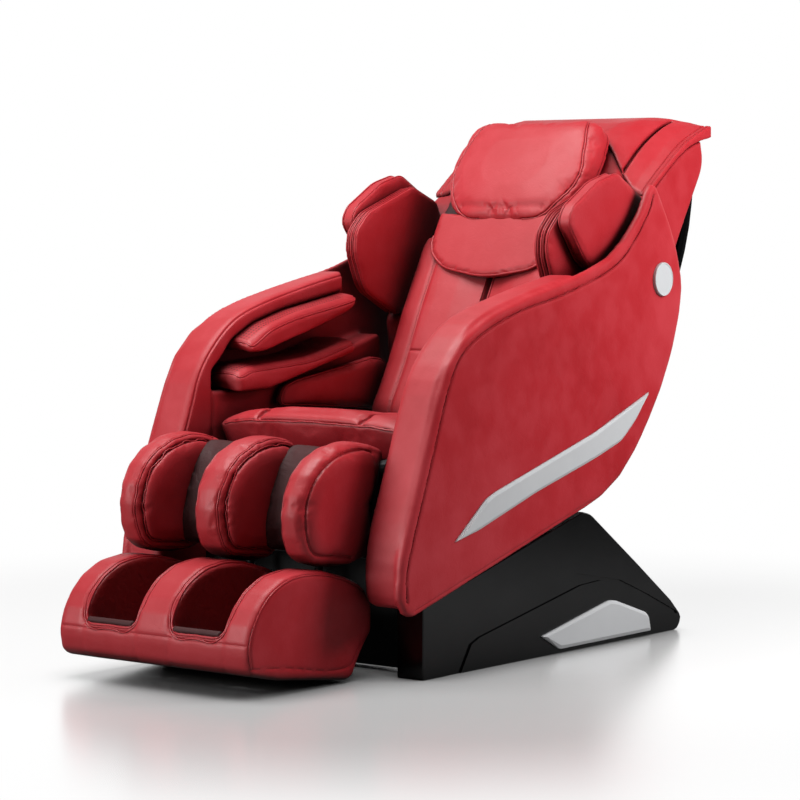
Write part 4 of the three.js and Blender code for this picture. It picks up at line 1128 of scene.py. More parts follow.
class Workroom:
    """Cuts, fills and sews the pads, and sets them on the frame."""

    def __init__(self, wardrobe: Wardrobe) -> None:
        """Keeps the finishes.

        Args:
            wardrobe: the finishes' materials.
        """
        self.wardrobe = wardrobe
        self.pads: list[Pad] = []

    def take(self, pads: Iterable[Pad]) -> None:
        """Adds an assembly's pads and cuts their meshes."""
        for pad in pads:
            grow = JOINT_OVERLAP if len(pad.nodes) > 1 else 0.0
            start = pad.start or cad_copy(pad.covered(pad.side), grow)
            pad.mesh = remeshed(pad.name + "_cover" + pad.side, start, pad.filling)
            self.pads.append(pad)

    def finish(self) -> None:
        """Fills the pads, sews their seams and sets them on the frame."""
        filled([(pad.mesh, pad.filling) for pad in self.pads if pad.filling.swell])
        for pad in self.pads:
            if pad.panel:
                bulged(pad.mesh, pad.panel, pad.panel_height, PANEL_REACH)
            sewn(pad.mesh, pad.seams)
            self._place(pad)
            LOG.info("%s: %d faces", pad.name, len(pad.mesh.polygons))

    def _place(self, pad: Pad) -> None:
        """Makes a pad's objects, its cords and its stitches."""
        if pad.zone:
            shares = pad.zone(coordinates(pad.mesh), vertex_normals(pad.mesh))
            layer = pad.mesh.attributes.new("zone", "FLOAT", "POINT")
            layer.data.foreach_set("value", shares.astype(np.float32))
        tree = mesh_tree(pad.mesh)
        trims = {trim: bmesh.new() for trim in Trim}
        for seam in pad.seams:
            made = []
            if seam.piping:
                line = softened(onto(seam.path, tree, seam.proud * MM), 2, seam.closed)
                cord = tube("cord", line, seam.piping * MM, seam.closed)
                made.append((cord, Trim.ROLL if seam.lining else Trim.PIPING))
            if seam.stitch:
                row = stitches("row", seam.path, tree, seam.stitch * MM, seam.closed)
                made.append((row, Trim.STITCHING))
            for mesh, trim in made:
                trims[trim].from_mesh(mesh)
                bpy.data.meshes.remove(mesh)
        pieces = []
        for trim, work in trims.items():
            mesh = baked(pad.name + trim.value[0] + pad.side, work)
            if len(mesh.vertices):
                pieces.append((mesh, trim.value[1]))
            else:
                bpy.data.meshes.remove(mesh)
        self._set(pad, pad.mesh, pad.coat, main=True)
        for mesh, coat in pieces:
            self._set(pad, mesh, coat, main=False)

    def _set(self, pad: Pad, mesh: bpy.types.Mesh, coat: Coat, main: bool) -> None:
        """Sets a mesh on its body, and its mirror image where it is one of a pair."""
        meshes = [(pad.side, mesh)]
        if pad.paired:
            other = mesh.copy()
            other.name = mesh.name.replace("_left", "_right")
            with editing(other) as work:
                bmesh.ops.scale(work, vec=(-1, 1, 1), verts=work.verts)
                bmesh.ops.reverse_faces(work, faces=work.faces)
            meshes.append(("_right", other))
        for side, each in meshes:
            smoothed(each)
            obj = self.wardrobe.show(each, coat, pad.body, Slot.LEATHER)
            if main:
                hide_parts(*pad.covered(side))


# ---- The chair's upholstered assemblies ----

SHELL_FRONT = [
    (-67, 144, 10), (-112, 164, 24), (-115, 238, 40), (-88, 320, 40), (-40, 439, 50),
    (8, 562, 40),
]
SHELL_TOP = [
    (40, 638, 30), (84, 706, 40), (165, 757, 50), (314, 806, 60), (486, 839, 60), (654, 881, 50),
    (735, 914, 40), (798, 964, 40),
]
SHELL_TIP = [
    (850, 1022, 26), (868, 1062, 16), (898, 1076, 14), (938, 1018, 20), (982, 952, 30),
    (1008, 892, 30),
]
SHELL_REAR = [
    (1024, 835, 16), (1020, 789, 30), (1000, 715, 40), (954, 618, 40), (905, 545, 40),
    (850, 478, 40), (788, 414, 50), (714, 361, 50), (630, 332, 30),
]
SHELL_RIM = [
    (-100, 262), (-82, 345), (-36, 455), (8, 572), (36, 644), (88, 708), (158, 762), (250, 795),
    (437, 838), (556, 859),
]


@dataclass
class SideShell:
    """The big outer shell of each arm, with its padded rim.

    Attributes:
        arm_inner: the X of the arm's inner face.
        outer: the X of the shell's outer face at the front.
        splay: how much the outer face runs in per millimetre of depth.
        seam_in: from the shell's rim in to its seam.
        lower: the height of the lower seam at the front face of the base, and its rise to the
            rear per millimetre.
    """

    arm_inner: float = 295
    outer: float = 405
    splay: float = 0.028
    seam_in: float = 25
    lower: tuple[float, float] = (175.6, 0.264)

    def outer_path(self, points: Iterable[tuple[float, float]], inward: float = 0) -> Path:
        """Side-view points on the shell's outer face, or a little way in from it."""
        return [at(self.outer - inward - self.splay * y, y, z) for y, z in points]

    def pads(self) -> list[Pad]:
        """The shell with its seams."""
        corners = [*SHELL_FRONT, *SHELL_TOP, *SHELL_TIP, *SHELL_REAR]
        count = len(SHELL_FRONT) + len(SHELL_TOP) + 2
        line = inset(corners, self.seam_in)[1:count]
        inner = [at(self.arm_inner + 2, y + 6, z - 6) for y, z in SHELL_RIM]
        height, rise = self.lower
        lower = [(y, height + rise * y) for y in (-60, 100, 300, 500, 620)]
        seams = [
            Seam(self.outer_path(line), depth=3.4, width=3.0, piping=1.1, stitch=6.0),
            Seam(inner, depth=2.6, width=3.0, stitch=5.0),
            Seam(self.outer_path(lower, 4), depth=1.6, width=2.4),
        ]
        nodes = ("side_panel", "arm_bolster", "arm_inner")
        filling = Filling(voxel=5, relax=5, fill=0.9)
        return [
            Pad("arm_shell", Body.SEAT, filling, nodes, seams=seams, coat=Coat.SHELL, paired=True)
        ]


@dataclass
class ArmPads:
    """The forearm pads and the hip pad inside each arm.

    Attributes:
        inner: the X that the forearm pads reach in to.
        arm_inner: the X of the arm's inner face.
        hip_thickness: the hip pad's thickness.
        UPPER: the inner edge of the upper forearm pad in the side view.
        LOWER: that of the lower one.
        HIP: the hip pad's outline.
        CORD: the cords round the pads.
    """

    inner: float = 240
    arm_inner: float = 295
    hip_thickness: float = 40

    UPPER = [(158, 708), (226, 743), (329, 771), (470, 795), (556, 811)]
    LOWER = [(114, 640), (160, 652), (380, 668), (546, 708)]
    HIP = [
        (284, 548, 8), (286, 588, 14), (324, 611, 16), (416, 626, 20), (652, 659, 20),
        (704, 633, 14), (657, 520, 14),
    ]
    CORD = {"depth": 1.5, "width": 3.0, "piping": 2.0}

    def edge(self, top: Sequence[tuple[float, float]], drop: float) -> Path:
        """The line round a forearm pad's upper edge, from the front along its inner side."""
        front_y, front_z = top[0]
        start = [at(x, front_y + 1, front_z - drop) for x in (372, 330, 290, 262)]
        return [*start, *(at(self.inner + 4, y + 4, z - drop - 10) for y, z in top)]

    def perforations(self, places: np.ndarray, normals: np.ndarray) -> np.ndarray:
        """Where a forearm pad has perforations: on its upper face, inside its rim."""
        x, y, _ = drawn(places)
        up = ramp(normals[:, 2], 0.8, 0.9)
        across = ramp(x, self.inner + 20, self.inner + 24) * ramp(x, 376, 372)
        return up * across * ramp(y, 124, 130) * ramp(y, 520, 514)

    def pads(self) -> list[Pad]:
        """The pads with their seams."""
        filling = Filling(voxel=4.5, relax=4, slack=1.5, swell=3.0, fill=0.8)
        made = [
            Pad(
                name, Body.SEAT, filling, seams=[Seam(self.edge(top, 3), **self.CORD)],
                coat=Coat.PERFORATED, paired=True, zone=self.perforations,
            )
            for name, top in (("forearm_pad_upper", self.UPPER), ("forearm_pad_lower", self.LOWER))
        ]
        outline = rounded(self.HIP)
        near = self.arm_inner - self.hip_thickness + 8
        loop = [at(near, y, z) for y, z in inset(outline, 3)]
        behind = [at(self.arm_inner - 8, y, z) for y, z in inset(outline, 2)]
        behind = behind[: len(behind) * 3 // 4]
        seams = [Seam(loop, closed=True, **self.CORD), Seam(behind, **self.CORD)]
        made.append(Pad("hip_pad", Body.SEAT, replace(filling, relax=3), seams=seams, paired=True))
        return made


@dataclass
class SeatCushion:
    """The seat cushion.

    Attributes:
        half: half its width.
        front: the Y of its front.
        seam_x: where its two long seams run.
        TOP: its upper face in the side view.
    """

    half: float = 284
    front: float = 52
    seam_x: float = 150

    TOP = [(64, 556), (80, 562), (180, 551), (300, 534), (420, 524), (540, 524)]

    def pads(self) -> list[Pad]:
        """The cushion with its seams."""
        seams = [
            Seam([at(x, y, z) for y, z in self.TOP], depth=5, width=5, stitch=stitch)
            for x in (-self.seam_x, self.seam_x)
            for stitch in (5.0, -5.0)
        ]
        across = np.linspace(-self.half + 16, self.half - 16, 9)
        front = [at(x, self.front + 2, 534) for x in across]
        seams.append(Seam(front, depth=2.5, width=3.2, piping=2.4))
        filling = Filling(voxel=6, relax=5, slack=4, swell=9, fill=0.8)
        return [Pad("seat_cushion", Body.SEAT, filling, seams=seams)]


@dataclass
class LegRest:
    """The calf pads.

    Attributes:
        half: half the leg rest's width.
        ridge: the width of an outer ridge.
        centre_half: half the centre ridge's width.
        border_in: how far inside a ridge's outline its side panel's border runs.
        FRONT_ARC: the front of every ridge in the side view.
        OUTER: an outer ridge's outline.
        CENTRE: the centre ridge's outline.
    """

    half: float = 270
    ridge: float = 74
    centre_half: float = 46
    border_in: float = 22

    FRONT_ARC = [
        (-60, 519, 26), (-122, 517, 30), (-176, 502, 30), (-224, 474, 30), (-258, 436, 30),
        (-276, 390, 30), (-278, 345, 26), (-268, 302, 24), (-246, 268, 20), (-206, 256, 16),
        (-100, 245, 12),
    ]
    OUTER = [(14, 499, 12), *FRONT_ARC, (-26, 262, 14), (-6, 300, 16), (4, 390, 16), (18, 440, 10)]
    CENTRE = [(-12, 502, 12), *FRONT_ARC, (-42, 290), (-42, 392)]

    def arc(self, x: float, shrink: float) -> Path:
        """A line over a ridge's side view, from its top rear round to its foot."""
        return [at(x, y, z) for y, z in inset(self.CENTRE, shrink)[: len(self.FRONT_ARC) + 1]]

    def border(self, corners: Sequence[Corner]) -> Path:
        """The closed border of the panels at a ridge's sides."""
        return [at(0, y, z) for y, z in inset(rounded(corners), self.border_in)]

    def side_seams(self, edge: float, inward: float) -> list[Seam]:
        """The two cords at one side of a ridge.

        Args:
            edge: the X of that side.
            inward: 1 where the ridge lies at larger X, and -1 where it lies at smaller.

        Returns:
            The seams.
        """
        return [
            Seam(self.arc(edge + inward * 8, 2), depth=2.0, width=3.0, piping=2.0),
            Seam(self.arc(edge, self.border_in), depth=5.0, width=3.8, piping=1.8),
        ]

    def pads(self) -> list[Pad]:
        """The ridges and the channels with their seams."""
        filling = Filling(voxel=4.5, relax=5, slack=0.5, swell=5, fill=0.85)
        outer = self.side_seams(self.half - self.ridge, 1)
        outer.append(Seam(self.arc(self.half, self.border_in), depth=3.5, width=3.2, stitch=-6.0))
        centre = [*self.side_seams(-self.centre_half, 1), *self.side_seams(self.centre_half, -1)]
        return [
            Pad(
                "calf_ridge", Body.LEGS, filling, seams=outer, paired=True,
                panel=self.border(self.OUTER), panel_height=7.0,
            ),
            Pad(
                "calf_ridge_centre", Body.LEGS, filling, seams=centre,
                panel=self.border(self.CENTRE), panel_height=8.0,
            ),
            # The channels wear the dark lining finish, painted shade between the ridges.
            Pad(
                "calf_channel", Body.LEGS, Filling(voxel=5, relax=5, slack=1.5, swell=4, fill=0.5),
                coat=Coat.LINING, paired=True,
            ),
        ]


@dataclass
class FootRest:
    """The foot rest with its two wells.

    Attributes:
        half: half its width.
        side: the width of each side.
        divider_half: half the width of the middle.
        lip: the height of the wells' front lip.
        front: the Y of its front face.
        TOP: its upper outline in the side view, from the rear.
        FRONT_FACE: its front, from the top.
        BOTTOM: its underside, from the front.
        LOW_SEAM: the seam low on each side.
    """

    half: float = 272
    side: float = 76
    divider_half: float = 52
    lip: float = 134
    front: float = -448

    TOP = [
        (-36, 156), (-58, 196), (-100, 218), (-150, 234), (-216, 246), (-290, 248), (-355, 229),
        (-398, 198), (-424, 166),
    ]
    FRONT_FACE = [(-441, 132), (-448, 96), (-440, 54)]
    BOTTOM = [(-340, 32), (-106, 4), (-74, 60), (-36, 104)]
    LOW_SEAM = [(-430, 66), (-338, 58), (-124, 34), (-72, 84)]

    def rim(self, side: float, middle: float, out: float) -> Path:
        """The line round one well's mouth.

        Args:
            side: the X of the well's wall at the outer side.
            middle: the X of its wall at the middle.
            out: how far outside the mouth's edge the line runs.

        Returns:
            The line, from the rear of the middle round the lip to the rear of the side.
        """
        line = [(y, z + (10 if y < -200 else 5)) for y, z in self.TOP[1:-1]]
        line.append((self.TOP[-1][0], self.TOP[-1][1] + 2))
        along = (middle + s * (side - middle) for s in (0.08, 0.5, 0.92))
        lip = [at(x, self.front + 2, self.lip - 2 - out) for x in along]
        first = [at(middle - out, y, z) for y, z in line]
        last = [at(side + out, y, z) for y, z in reversed(line)]
        return [*first, *lip, *last]

    def lined(self, places: np.ndarray, _normals: np.ndarray) -> np.ndarray:
        """Where the foot rest shows its lining: inside the wells and over their lips."""
        x, y, z = drawn(places)
        heights, sole = np.array(self.TOP[::-1]), np.array(self.BOTTOM)
        brim = np.interp(y, heights[:, 0], heights[:, 1]) + 2
        floor = np.interp(y, sole[:, 0], sole[:, 1]) + 26
        middle, wall = self.divider_half - 7, self.half - self.side + 7
        across = ramp(x, middle, middle + 3) * ramp(x, wall, wall - 3)
        behind = ramp(y, -441, -437) * ramp(y, -52, -56)
        inside = ramp(z, floor, floor + 6)
        return across * behind * inside * np.maximum(ramp(z, brim, brim - 4), ramp(y, -405, -411))

    def pads(self) -> list[Pad]:
        """The foot rest with its seams."""
        wall = self.half - self.side
        outline = inset([*self.TOP, *self.FRONT_FACE, *self.BOTTOM], 9)
        rims, arcs = [], []
        for sign in (1, -1):
            for out, radius in ((2.0, 3.0), (13.0, 2.0)):
                line = self.rim(wall, self.divider_half, out)
                line = [Vector((sign * p.x, p.y, p.z)) for p in line]
                rims.append(Seam(line, depth=2.0, width=3.0, piping=radius))
            across = np.linspace(self.divider_half + 8, wall - 8, 5)
            for y, z, radius in ((-434, self.lip, 8.0), (-418, self.lip - 6, 7.0)):
                roll = [at(sign * x, y, z) for x in across]
                rims.append(Seam(roll, depth=0, piping=radius, proud=-1.0, lining=True))
            arc = [at(sign * (self.half - 1), y, z + 5) for y, z in outline[1:-4]]
            arcs.append(Seam(arc, depth=2.0, width=3.0, piping=2.2))
            low = [at(sign * self.half, y, z) for y, z in self.LOW_SEAM]
            arcs.append(Seam(low, depth=1.6, width=2.2))
        across = np.linspace(-self.half + 8, self.half - 8, 12)
        band = Seam([at(x, self.front, self.lip - 18) for x in across], depth=1.4, width=2.2)
        nodes = ("foot_side_left", "foot_side_right", "foot_divider")
        nodes += ("foot_well_left", "foot_well_right")
        return [
            Pad(
                "foot_rest", Body.FEET, Filling(voxel=5.5, relax=4, fill=0.8), nodes,
                seams=[*rims, *arcs, band], coat=Coat.WELLS, zone=self.lined,
            )
        ]


@dataclass(frozen=True)
class Lean:
    """A leaning front face, measured along it and back from it.

    Attributes:
        foot: the (y, z) of its foot.
        degrees: its lean from upright.
    """

    foot: tuple[float, float]
    degrees: float

    def place(self, x: float, along: float, behind: float) -> Vector:
        """The point at a place on the face."""
        lean = math.radians(self.degrees)
        y = self.foot[0] + along * math.sin(lean) + behind * math.cos(lean)
        z = self.foot[1] + along * math.cos(lean) - behind * math.sin(lean)
        return at(x, y, z)


BACK_FACE = Lean((560, 500), 27.9)
PILLOW_FACE = Lean((784.3, 988.6), 35.4)


@dataclass
class Back:
    """The back pad, the panel over it and the wings.

    Attributes:
        half: half the back pad's width.
        length: its length.
        seam_x: where its long side seams run.
        cross: where its cross seam lies along the back.
        slit: the ends of the middle slit along the back.
        wing_outer: the X of a wing's outer face.
        LINING: the side view of the dark sheet between the back pad and the top, which is painted
            shade.
        WING_FRONT: a wing's front edge in the side view.
    """

    half: float = 242
    length: float = 520
    seam_x: float = 168
    cross: float = 192
    slit: tuple[float, float] = (290, 400)
    wing_outer: float = 318.6

    LINING = [(836, 948), (850, 938), (936, 1036), (918, 1050)]
    WING_FRONT = [
        (746, 668), (738, 736), (760, 770), (802, 842), (862, 945), (912, 1018), (950, 1056),
    ]

    def pads(self) -> list[Pad]:
        """The pads with their seams."""
        face = BACK_FACE.place
        down = np.linspace(14, self.length - 14, 8)
        across = np.linspace(-self.seam_x + 4, self.seam_x - 4, 9)
        along = np.linspace(*self.slit, 6)
        seams = [
            Seam([face(x, s, 0) for s in down], depth=4, width=4, stitch=5.0)
            for x in (-self.seam_x, self.seam_x)
        ]
        seams.append(Seam([face(x, self.cross, 0) for x in across], depth=3.5, width=3.6))
        seams.append(Seam([face(0, s, 12) for s in along], depth=14, width=5.5))
        for x in (-11, 11):
            edge = [face(x, s, 10) for s in along]
            seams.append(Seam(edge, depth=0, piping=2.2, proud=1.0))
        front = [at(self.wing_outer, y + 16, z - 6) for y, z in self.WING_FRONT]
        wing = Seam(front, depth=2.5, width=3.0, piping=1.8, stitch=-6.0)
        stuffed = Filling(voxel=6, relax=4, slack=2, swell=4, fill=0.7)
        return [
            Pad("back_pad", Body.BACK, stuffed, seams=seams),
            Pad("back_top", Body.BACK, Filling(voxel=6, relax=3)),
            # A dark sheet behind the pillow, painted shade where the back's gaps show only shade.
            Pad(
                "back_shade_sheet", Body.BACK, Filling(voxel=5, relax=2, fill=0.3), ("back_top",),
                start=blank(self.LINING, -self.half + 6, self.half - 6), coat=Coat.LINING,
            ),
            Pad(
                "back_wing", Body.BACK, Filling(voxel=5, relax=3, fill=0.9), seams=[wing],
                coat=Coat.SHELL, paired=True,
            ),
        ]


@dataclass
class HeadRest:
    """The head pillow and the neck pad below it.

    Attributes:
        half: half the pillow's width.
        neck_half: half the neck pad's width.
        neck_depth: how far the neck pad stands off the back's face.
        cord_in: the neck pad's cord as a share of its width.
        cord_top: how far up the back the cord reaches.
        FACE: the seam on the pillow's face: its share of half the width, and its way up.
        GUSSET: the same for the seam on its side.
        TUCK: the tuck below its face, as shares of half the width.
        NECK: the neck pad's side down to its foot: its share of half the width, its way up the
            back, and its corner's radius.
    """

    half: float = 214
    neck_half: float = 196
    neck_depth: float = 20
    cord_in: float = 0.985
    cord_top: float = 540

    FACE = [
        (0.3, -8), (0.5, -4), (0.62, 20), (0.85, 100), (0.87, 145), (0.84, 172), (0.78, 224),
        (0.7, 290),
    ]
    GUSSET = [(0.5, -2), (0.82, 36), (0.99, 132), (0.99, 204), (0.9, 284)]
    TUCK = (-0.55, -0.3, 0.0, 0.3, 0.55)
    NECK = [(0.98, 560, 8), (1, 460, 40), (0.72, 408, 60)]

    def pillow_line(self, points: Sequence[tuple[float, float]], half: float, depth: float) -> Path:
        """A line on the pillow, from shares of half its width and ways up its face."""
        return [PILLOW_FACE.place(half * x, s, depth) for x, s in points]

    def neck(self) -> tuple[bmesh.types.BMesh, Path]:
        """The neck pad's blank, and the line of its cord."""
        half = self.neck_half
        corners = [(-half * x, s, radius) for x, s, radius in self.NECK]
        corners += [(0, 380, 90), *((-x, s, radius) for x, s, radius in reversed(corners))]
        shield = rounded(corners, 6)
        forward = BACK_FACE.place(0, 0, -self.neck_depth) - BACK_FACE.place(0, 0, 0)
        start = slab([BACK_FACE.place(x, s, 0) for x, s in shield], forward)
        below = [i for i, (_, s) in enumerate(shield) if s < self.cord_top]
        corded = shield[below[0] : below[-1] + 1]
        return start, [BACK_FACE.place(x * self.cord_in, s + 2, -16) for x, s in corded]

    def pads(self) -> list[Pad]:
        """The pads with their seams."""
        pillow = []
        for half in (self.half, -self.half):
            line = self.pillow_line(self.FACE, half, 0)
            pillow.append(Seam(line, depth=3.0, width=3.6, piping=2.4, proud=0.9))
            line = self.pillow_line(self.GUSSET, half, 40)
            pillow.append(Seam(line, depth=2.0, width=3.0, piping=2.0, proud=0.6))
        tuck = self.pillow_line([(x, 34) for x in self.TUCK], self.half, 0)
        pillow.append(Seam(tuck, depth=4.0, width=12.0))
        start, cord = self.neck()
        stuffed = Filling(voxel=5, relax=5, slack=2, swell=8, fill=0.85)
        thin = Filling(voxel=3.5, relax=4, slack=0.5, swell=4, fill=0.6)
        rim = Seam(cord, depth=0.8, width=3.0, piping=3.4, proud=0.2)
        return [
            Pad("head_pillow", Body.BACK, stuffed, seams=pillow),
            Pad("neck_pad", Body.BACK, thin, start=start, seams=[rim]),
        ]


@dataclass
class ShoulderWings:
    """The stacked shoulder pads: three thin layers and a thick outer leaf.

    Attributes:
        start: the X of the inmost layer's inner face.
        gap: the room between two layers.
        LAYERS: each layer's thickness and how far its outline is drawn in.
        INNER: the outline of the three thin layers in the side view.
        OUTER: the outer leaf's outline.
    """

    start: float = 262
    gap: float = 0.8

    LAYERS = [(13.3, 1), (13.2, 3), (13.2, 5), (39.7, 1)]
    INNER = [
        (788, 1070, 14), (614, 1007, 20), (566, 960, 20), (560, 906, 30), (600, 812, 30),
        (734, 746, 20), (784, 795), (903, 997), (888, 1030, 14),
    ]
    OUTER = [
        (795, 1098, 14), (716, 1078, 20), (612, 1016, 20), (594, 978, 20), (672, 880, 30),
        (770, 850, 20), (823, 862), (903, 997), (908, 1036, 14),
    ]

    def pads(self) -> list[Pad]:
        """The layers with their edge cords."""
        made = []
        near = self.start
        filling = Filling(voxel=3.5, relax=3, slack=0.4, swell=2.2, fill=0.6)
        for layer, (thickness, shrink) in enumerate(self.LAYERS):
            outer = layer == len(self.LAYERS) - 1
            corners = self.OUTER if outer else self.INNER
            inside, outside = near + self.gap / 2, near + thickness - self.gap / 2
            places = [outside - 6, inside + 6] if outer else [(inside + outside) / 2]
            edge = inset(rounded(corners, 3), shrink - 1)
            lines = [[at(x, y, z) for y, z in edge] for x in places]
            rims = [Seam(line, closed=True, depth=0.0, piping=2.4, proud=0.3) for line in lines]
            nodes = ("shoulder_outer" if outer else "shoulder_inner",)
            start = blank(inset(rounded(corners, 4), shrink), inside, outside)
            name = f"shoulder_pad_{layer + 1}"
            made.append(Pad(name, Body.BACK, filling, nodes, start, rims, paired=True))
            near += thickness
        return made


@dataclass
class TopFlap:
    """The cover draped over the top of the back.

    Attributes:
        half: half its width.
        slit_x: where its two long slits run.
        slit_share: how much of the flap's length a slit takes up.
        MIDDLE: its upper face along the middle, from the front.
        SIDES: the same along its sides.
    """

    half: float = 322
    slit_x: float = 236
    slit_share: float = 0.86

    MIDDLE = [(998, 1192), (1060, 1219), (1137, 1235), (1190, 1237), (1228, 1228)]
    SIDES = [(953, 1052), (1030, 1111), (1108, 1164), (1165, 1191), (1232, 1216)]

    def line(self, x: float) -> Path:
        """The flap's upper face at one place across it, from its front to its rear."""
        line = []
        for i, (a, b) in enumerate(zip(self.MIDDLE, self.SIDES, strict=True)):
            along = i / (len(self.SIDES) - 1)
            start = 140 + 90 * along
            share = min(1.0, max(0.0, (abs(x) - start) / (300 + 20 * along - start)))
            share = share * share * (3 - 2 * share)
            line.append(at(x, a[0] + (b[0] - a[0]) * share, a[1] + (b[1] - a[1]) * share))
        return line

    def pads(self) -> list[Pad]:
        """The flap with its slits and border seams."""
        seams = []
        for sign in (1, -1):
            slit = even(self.line(sign * self.slit_x), PATH_PITCH)
            slit = slit[: int(len(slit) * self.slit_share)]
            seams.append(Seam(slit, depth=11, width=3.6))
            for inward in (8, 20):
                edge = even(self.line(sign * (self.half - inward)), PATH_PITCH)
                seams.append(Seam(edge, depth=1.8, width=2.4, stitch=3.5))
        return [Pad("top_flap", Body.BACK, Filling(voxel=4, relax=3, fill=0.5), seams=seams)]


# ---- The hard parts ----


@dataclass
class HardParts:
    """The CAD nodes that show as they are, the glossy black and silver ones softened at their
    edges.

    Attributes:
        edge: the width of the rounded edges.
        rim: the radius of the side discs' rim.
        liner_x: the X of the back liners' outer face.
        liner_thickness: their thickness.
        LINER: their outline in the side view.
    """

    edge: float = 1.2
    rim: float = 1.8
    liner_x: float = 252
    liner_thickness: float = 3

    LINER = [
        (1200, 1112), (1108, 958), (1003, 774), (903, 624), (872, 580), (935, 562), (1028, 664),
        (1107, 774), (1164, 886), (1204, 1000),
    ]

    def disc_rim(self, side: str) -> bpy.types.Mesh:
        """The raised rim of a side disc, from the disc's own face.

        Args:
            side: the side's ending.

        Returns:
            The rim's mesh.
        """
        spots = coordinates(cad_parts["side_disc" + side].data)
        low, high = spots.min(0), spots.max(0)
        middle, reach = (low + high) / 2, (high[2] - low[2]) / 2 - self.rim * MM
        face = spots[np.abs(np.hypot(*(spots - middle)[:, 1:].T) - reach) < 3 * MM]
        outward = 1 if middle[0] > 0 else -1
        lean = np.polyfit(face[:, 1], face[:, 0], 1) if len(face) > 3 else (0.0, middle[0])
        shift = (face[:, 0] - np.polyval(lean, face[:, 1])) * outward
        path = []
        for turn in np.linspace(0, 2 * math.pi, 64, endpoint=False):
            y = middle[1] + reach * math.cos(turn)
            x = np.polyval(lean, y) + outward * (shift.max() - 0.4 * MM)
            path.append(Vector((x, y, middle[2] + reach * math.sin(turn))))
        return tube("disc_rim" + side, path, self.rim * MM, True, 3)

    def back_liner(self, side: str, sign: int) -> bpy.types.Mesh:
        """The plate that closes the back's side between its wing and its cover.

        Args:
            side: the side's ending.
            sign: 1 on the left and -1 on the right.

        Returns:
            The plate's mesh.
        """
        near = self.liner_x - self.liner_thickness
        return baked("back_liner" + side, blank(self.LINER, sign * near, sign * self.liner_x))

    def dress(self, wardrobe: Wardrobe) -> None:
        """Gives every shown CAD node the finish of its slot, and fine rounded edges to the glossy
        black and silver ones.

        Args:
            wardrobe: the finishes' materials.
        """
        for name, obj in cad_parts.items():
            if obj.hide_render:
                continue
            coat = Coat[Slot(obj.data.materials[0].name).name]
            wardrobe.dress(obj, coat)
            if coat in (Coat.GLOSS, Coat.SILVER):
                soften = obj.modifiers.new("edges", "BEVEL")
                soften.width = self.edge * MM
                soften.segments = 2
                soften.limit_method = "ANGLE"
                soften.angle_limit = math.radians(30)
            LOG.info("%s: %s", name, coat.value.name)
        sides = (("_left", 1), ("_right", -1))
        for side, _ in sides:
            wardrobe.show(smoothed(self.disc_rim(side)), Coat.SILVER, Body.SEAT, Slot.SILVER)
        for side, sign in sides:
            wardrobe.show(self.back_liner(side, sign), Coat.GLOSS, Body.BACK, Slot.GLOSS)


# ---- The studio ----


@dataclass(frozen=True)
class Lamp:
    """A square soft lamp that looks at a point.

    Attributes:
        name: its name.
        place: where it stands, in metres.
        aim: the point, in metres.
        size: its side, in metres.
        power: in watts.
        mirrored: whether glossy surfaces show it.
    """

    name: str
    place: Spot
    aim: Spot
    size: float
    power: float
    mirrored: bool = True

    def build(self) -> None:
        """Sets the lamp up."""
        data = bpy.data.lights.new(self.name, "AREA")
        data.size = self.size
        data.energy = self.power
        obj = in_scene(self.name, data)
        obj.location = self.place
        toward = Vector(self.aim) - Vector(self.place)
        obj.rotation_euler = toward.to_track_quat("-Z", "Y").to_euler()
        obj.visible_glossy = self.mirrored


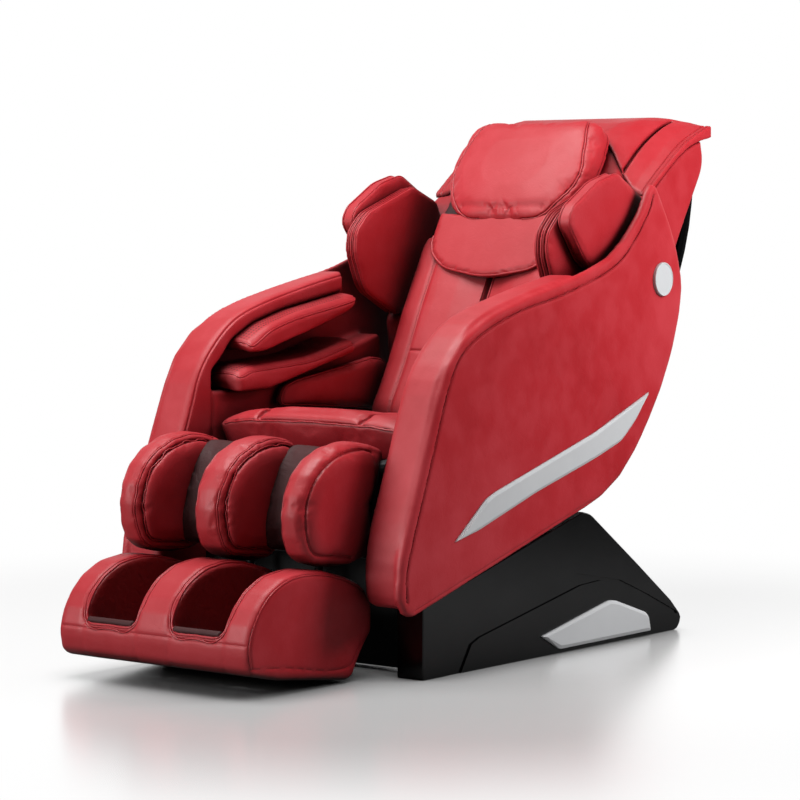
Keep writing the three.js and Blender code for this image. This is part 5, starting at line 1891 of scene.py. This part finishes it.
@dataclass
class Studio:
    """The floor, the lamps and the camera.

    Attributes:
        camera_place: where the camera stands, in metres.
        camera_turn: its turn, in degrees.
        lens: its focal length, in millimetres.
        floor_size: half the floor's side, in metres.
        plain: where the floor's shading starts and stops to fade out, in metres.
        contact_reach: how far the dark shadow under the chair spreads, in metres.
        white: how bright the floor is away from that shadow.
        bounce: how much light the floor throws back at the chair.
        ambient: the strength of the even light from all round.
        backdrop_side: the direction of the bright wall that reflections see.
        LAMPS: the lamps.
    """

    camera_place: Spot = (4.2000, -5.3238, 1.0010)
    camera_turn: Spot = (90 - 3.647, 0.0, 38.279)
    lens: float = 131.795
    floor_size: float = 40.0
    plain: tuple[float, float] = (1.2, 2.2)
    contact_reach: float = 0.16
    white: float = 0.96
    bounce: float = 0.16
    ambient: float = 0.14
    backdrop_side: Spot = (-0.62, 0.78, 0.0)

    LAMPS = (
        Lamp("lamp_top", (-0.3, -0.7, 3.2), (0.0, 0.0, 0.6), 1.8, 95),
        Lamp("lamp_front", (-1.6, -4.2, 1.7), (0.0, 0.0, 0.5), 1.6, 105),
        Lamp("lamp_side", (1.9, 1.05, 1.5), (0.4, 0.2, 0.75), 1.0, 50, mirrored=False),
    )

    def build(self) -> None:
        """Sets up the whole studio."""
        self._camera()
        self._floor()
        self._world()
        for lamp in self.LAMPS:
            lamp.build()
        bpy.context.scene.view_settings.view_transform = "Standard"

    def _camera(self) -> None:
        """Places the camera."""
        data = bpy.data.cameras.new("camera")
        data.lens = self.lens
        data.sensor_width = 36
        obj = in_scene("camera", data)
        obj.location = self.camera_place
        obj.rotation_euler = [math.radians(a) for a in self.camera_turn]
        bpy.context.scene.camera = obj

    def _floor(self) -> None:
        """Lays the floor: white where it is seen, with the chair's shadow and soft reflection."""
        work = bmesh.new()
        bmesh.ops.create_grid(work, x_segments=2, y_segments=2, size=self.floor_size)
        obj = in_scene("floor", baked("floor", work))
        made = bpy.data.materials.new("white_floor")
        w = Wiring.afresh(made)
        away = w.node("VectorMath", operation="LENGTH")
        w.put(away.inputs[0], w.node("TexCoord").outputs["Object"])
        far = w.ranged(away.outputs["Value"], *self.plain, 0.0, 1.0)
        contact = w.ranged(w.openness(self.contact_reach, 8), 0.25, 0.95, 0.0, 1.0)
        glow = w.shader("Emission", Color=WHITE, Strength=w.math("MULTIPLY", contact, self.white))
        plain = w.shader("Emission", Color=WHITE, Strength=1.0)
        lit = w.shader("BsdfDiffuse", Color=(0.9, 0.9, 0.9, 1))
        gloss = w.shader("BsdfAnisotropic", Color=WHITE, Roughness=0.24)
        dim = w.shader("BsdfDiffuse", Color=(self.bounce, self.bounce, self.bounce, 1))
        base = w.blended(0.55, w.blended(0.7, lit, glow), gloss)
        rays = w.node("LightPath")
        both = w.blended(rays.outputs["Is Camera Ray"], dim, w.blended(far, base, plain))
        w.feed(w.node("OutputMaterial"), Surface=both)
        obj.data.materials.append(made)

    def _world(self) -> None:
        """A sky that is white where it is seen, soft as light, and bright far behind the chair."""
        world = bpy.data.worlds.new("studio")
        bpy.context.scene.world = world
        w = Wiring.afresh(world)
        toward = w.node("TexCoord").outputs["Generated"]
        side = w.node("VectorMath", operation="DOT_PRODUCT")
        w.put(side.inputs[0], toward)
        w.put(side.inputs[1], self.backdrop_side)
        split = w.node("SeparateXYZ")
        w.feed(split, Vector=toward)
        low = w.ranged(split.outputs["Z"], 0.3, 0.75, 1.0, 0.15)
        behind = w.ranged(side.outputs["Value"], 0.4, 0.8, 0.03, 1.0)
        soft, wall, white = (
            w.shader("Background", Color=WHITE, Strength=strength)
            for strength in (self.ambient, w.math("MULTIPLY", low, behind), 1.0)
        )
        rays = w.node("LightPath").outputs
        both = w.blended(rays["Is Glossy Ray"], soft, wall)
        seen = w.math("MAXIMUM", rays["Is Camera Ray"], rays["Is Transmission Ray"])
        w.feed(w.node("OutputWorld"), Surface=w.blended(seen, both, white))


def main() -> None:
    """Builds the studio, the pads and the hard parts in order."""
    logging.basicConfig(level=logging.INFO, format="%(name)s %(message)s")
    Studio().build()
    wardrobe = Wardrobe()
    room = Workroom(wardrobe)
    for assembly in (
        SideShell, ArmPads, SeatCushion, LegRest, FootRest, Back, HeadRest, ShoulderWings, TopFlap
    ):
        room.take(assembly().pads())
    room.finish()
    HardParts().dress(wardrobe)


if __name__ == "__main__":
    main()
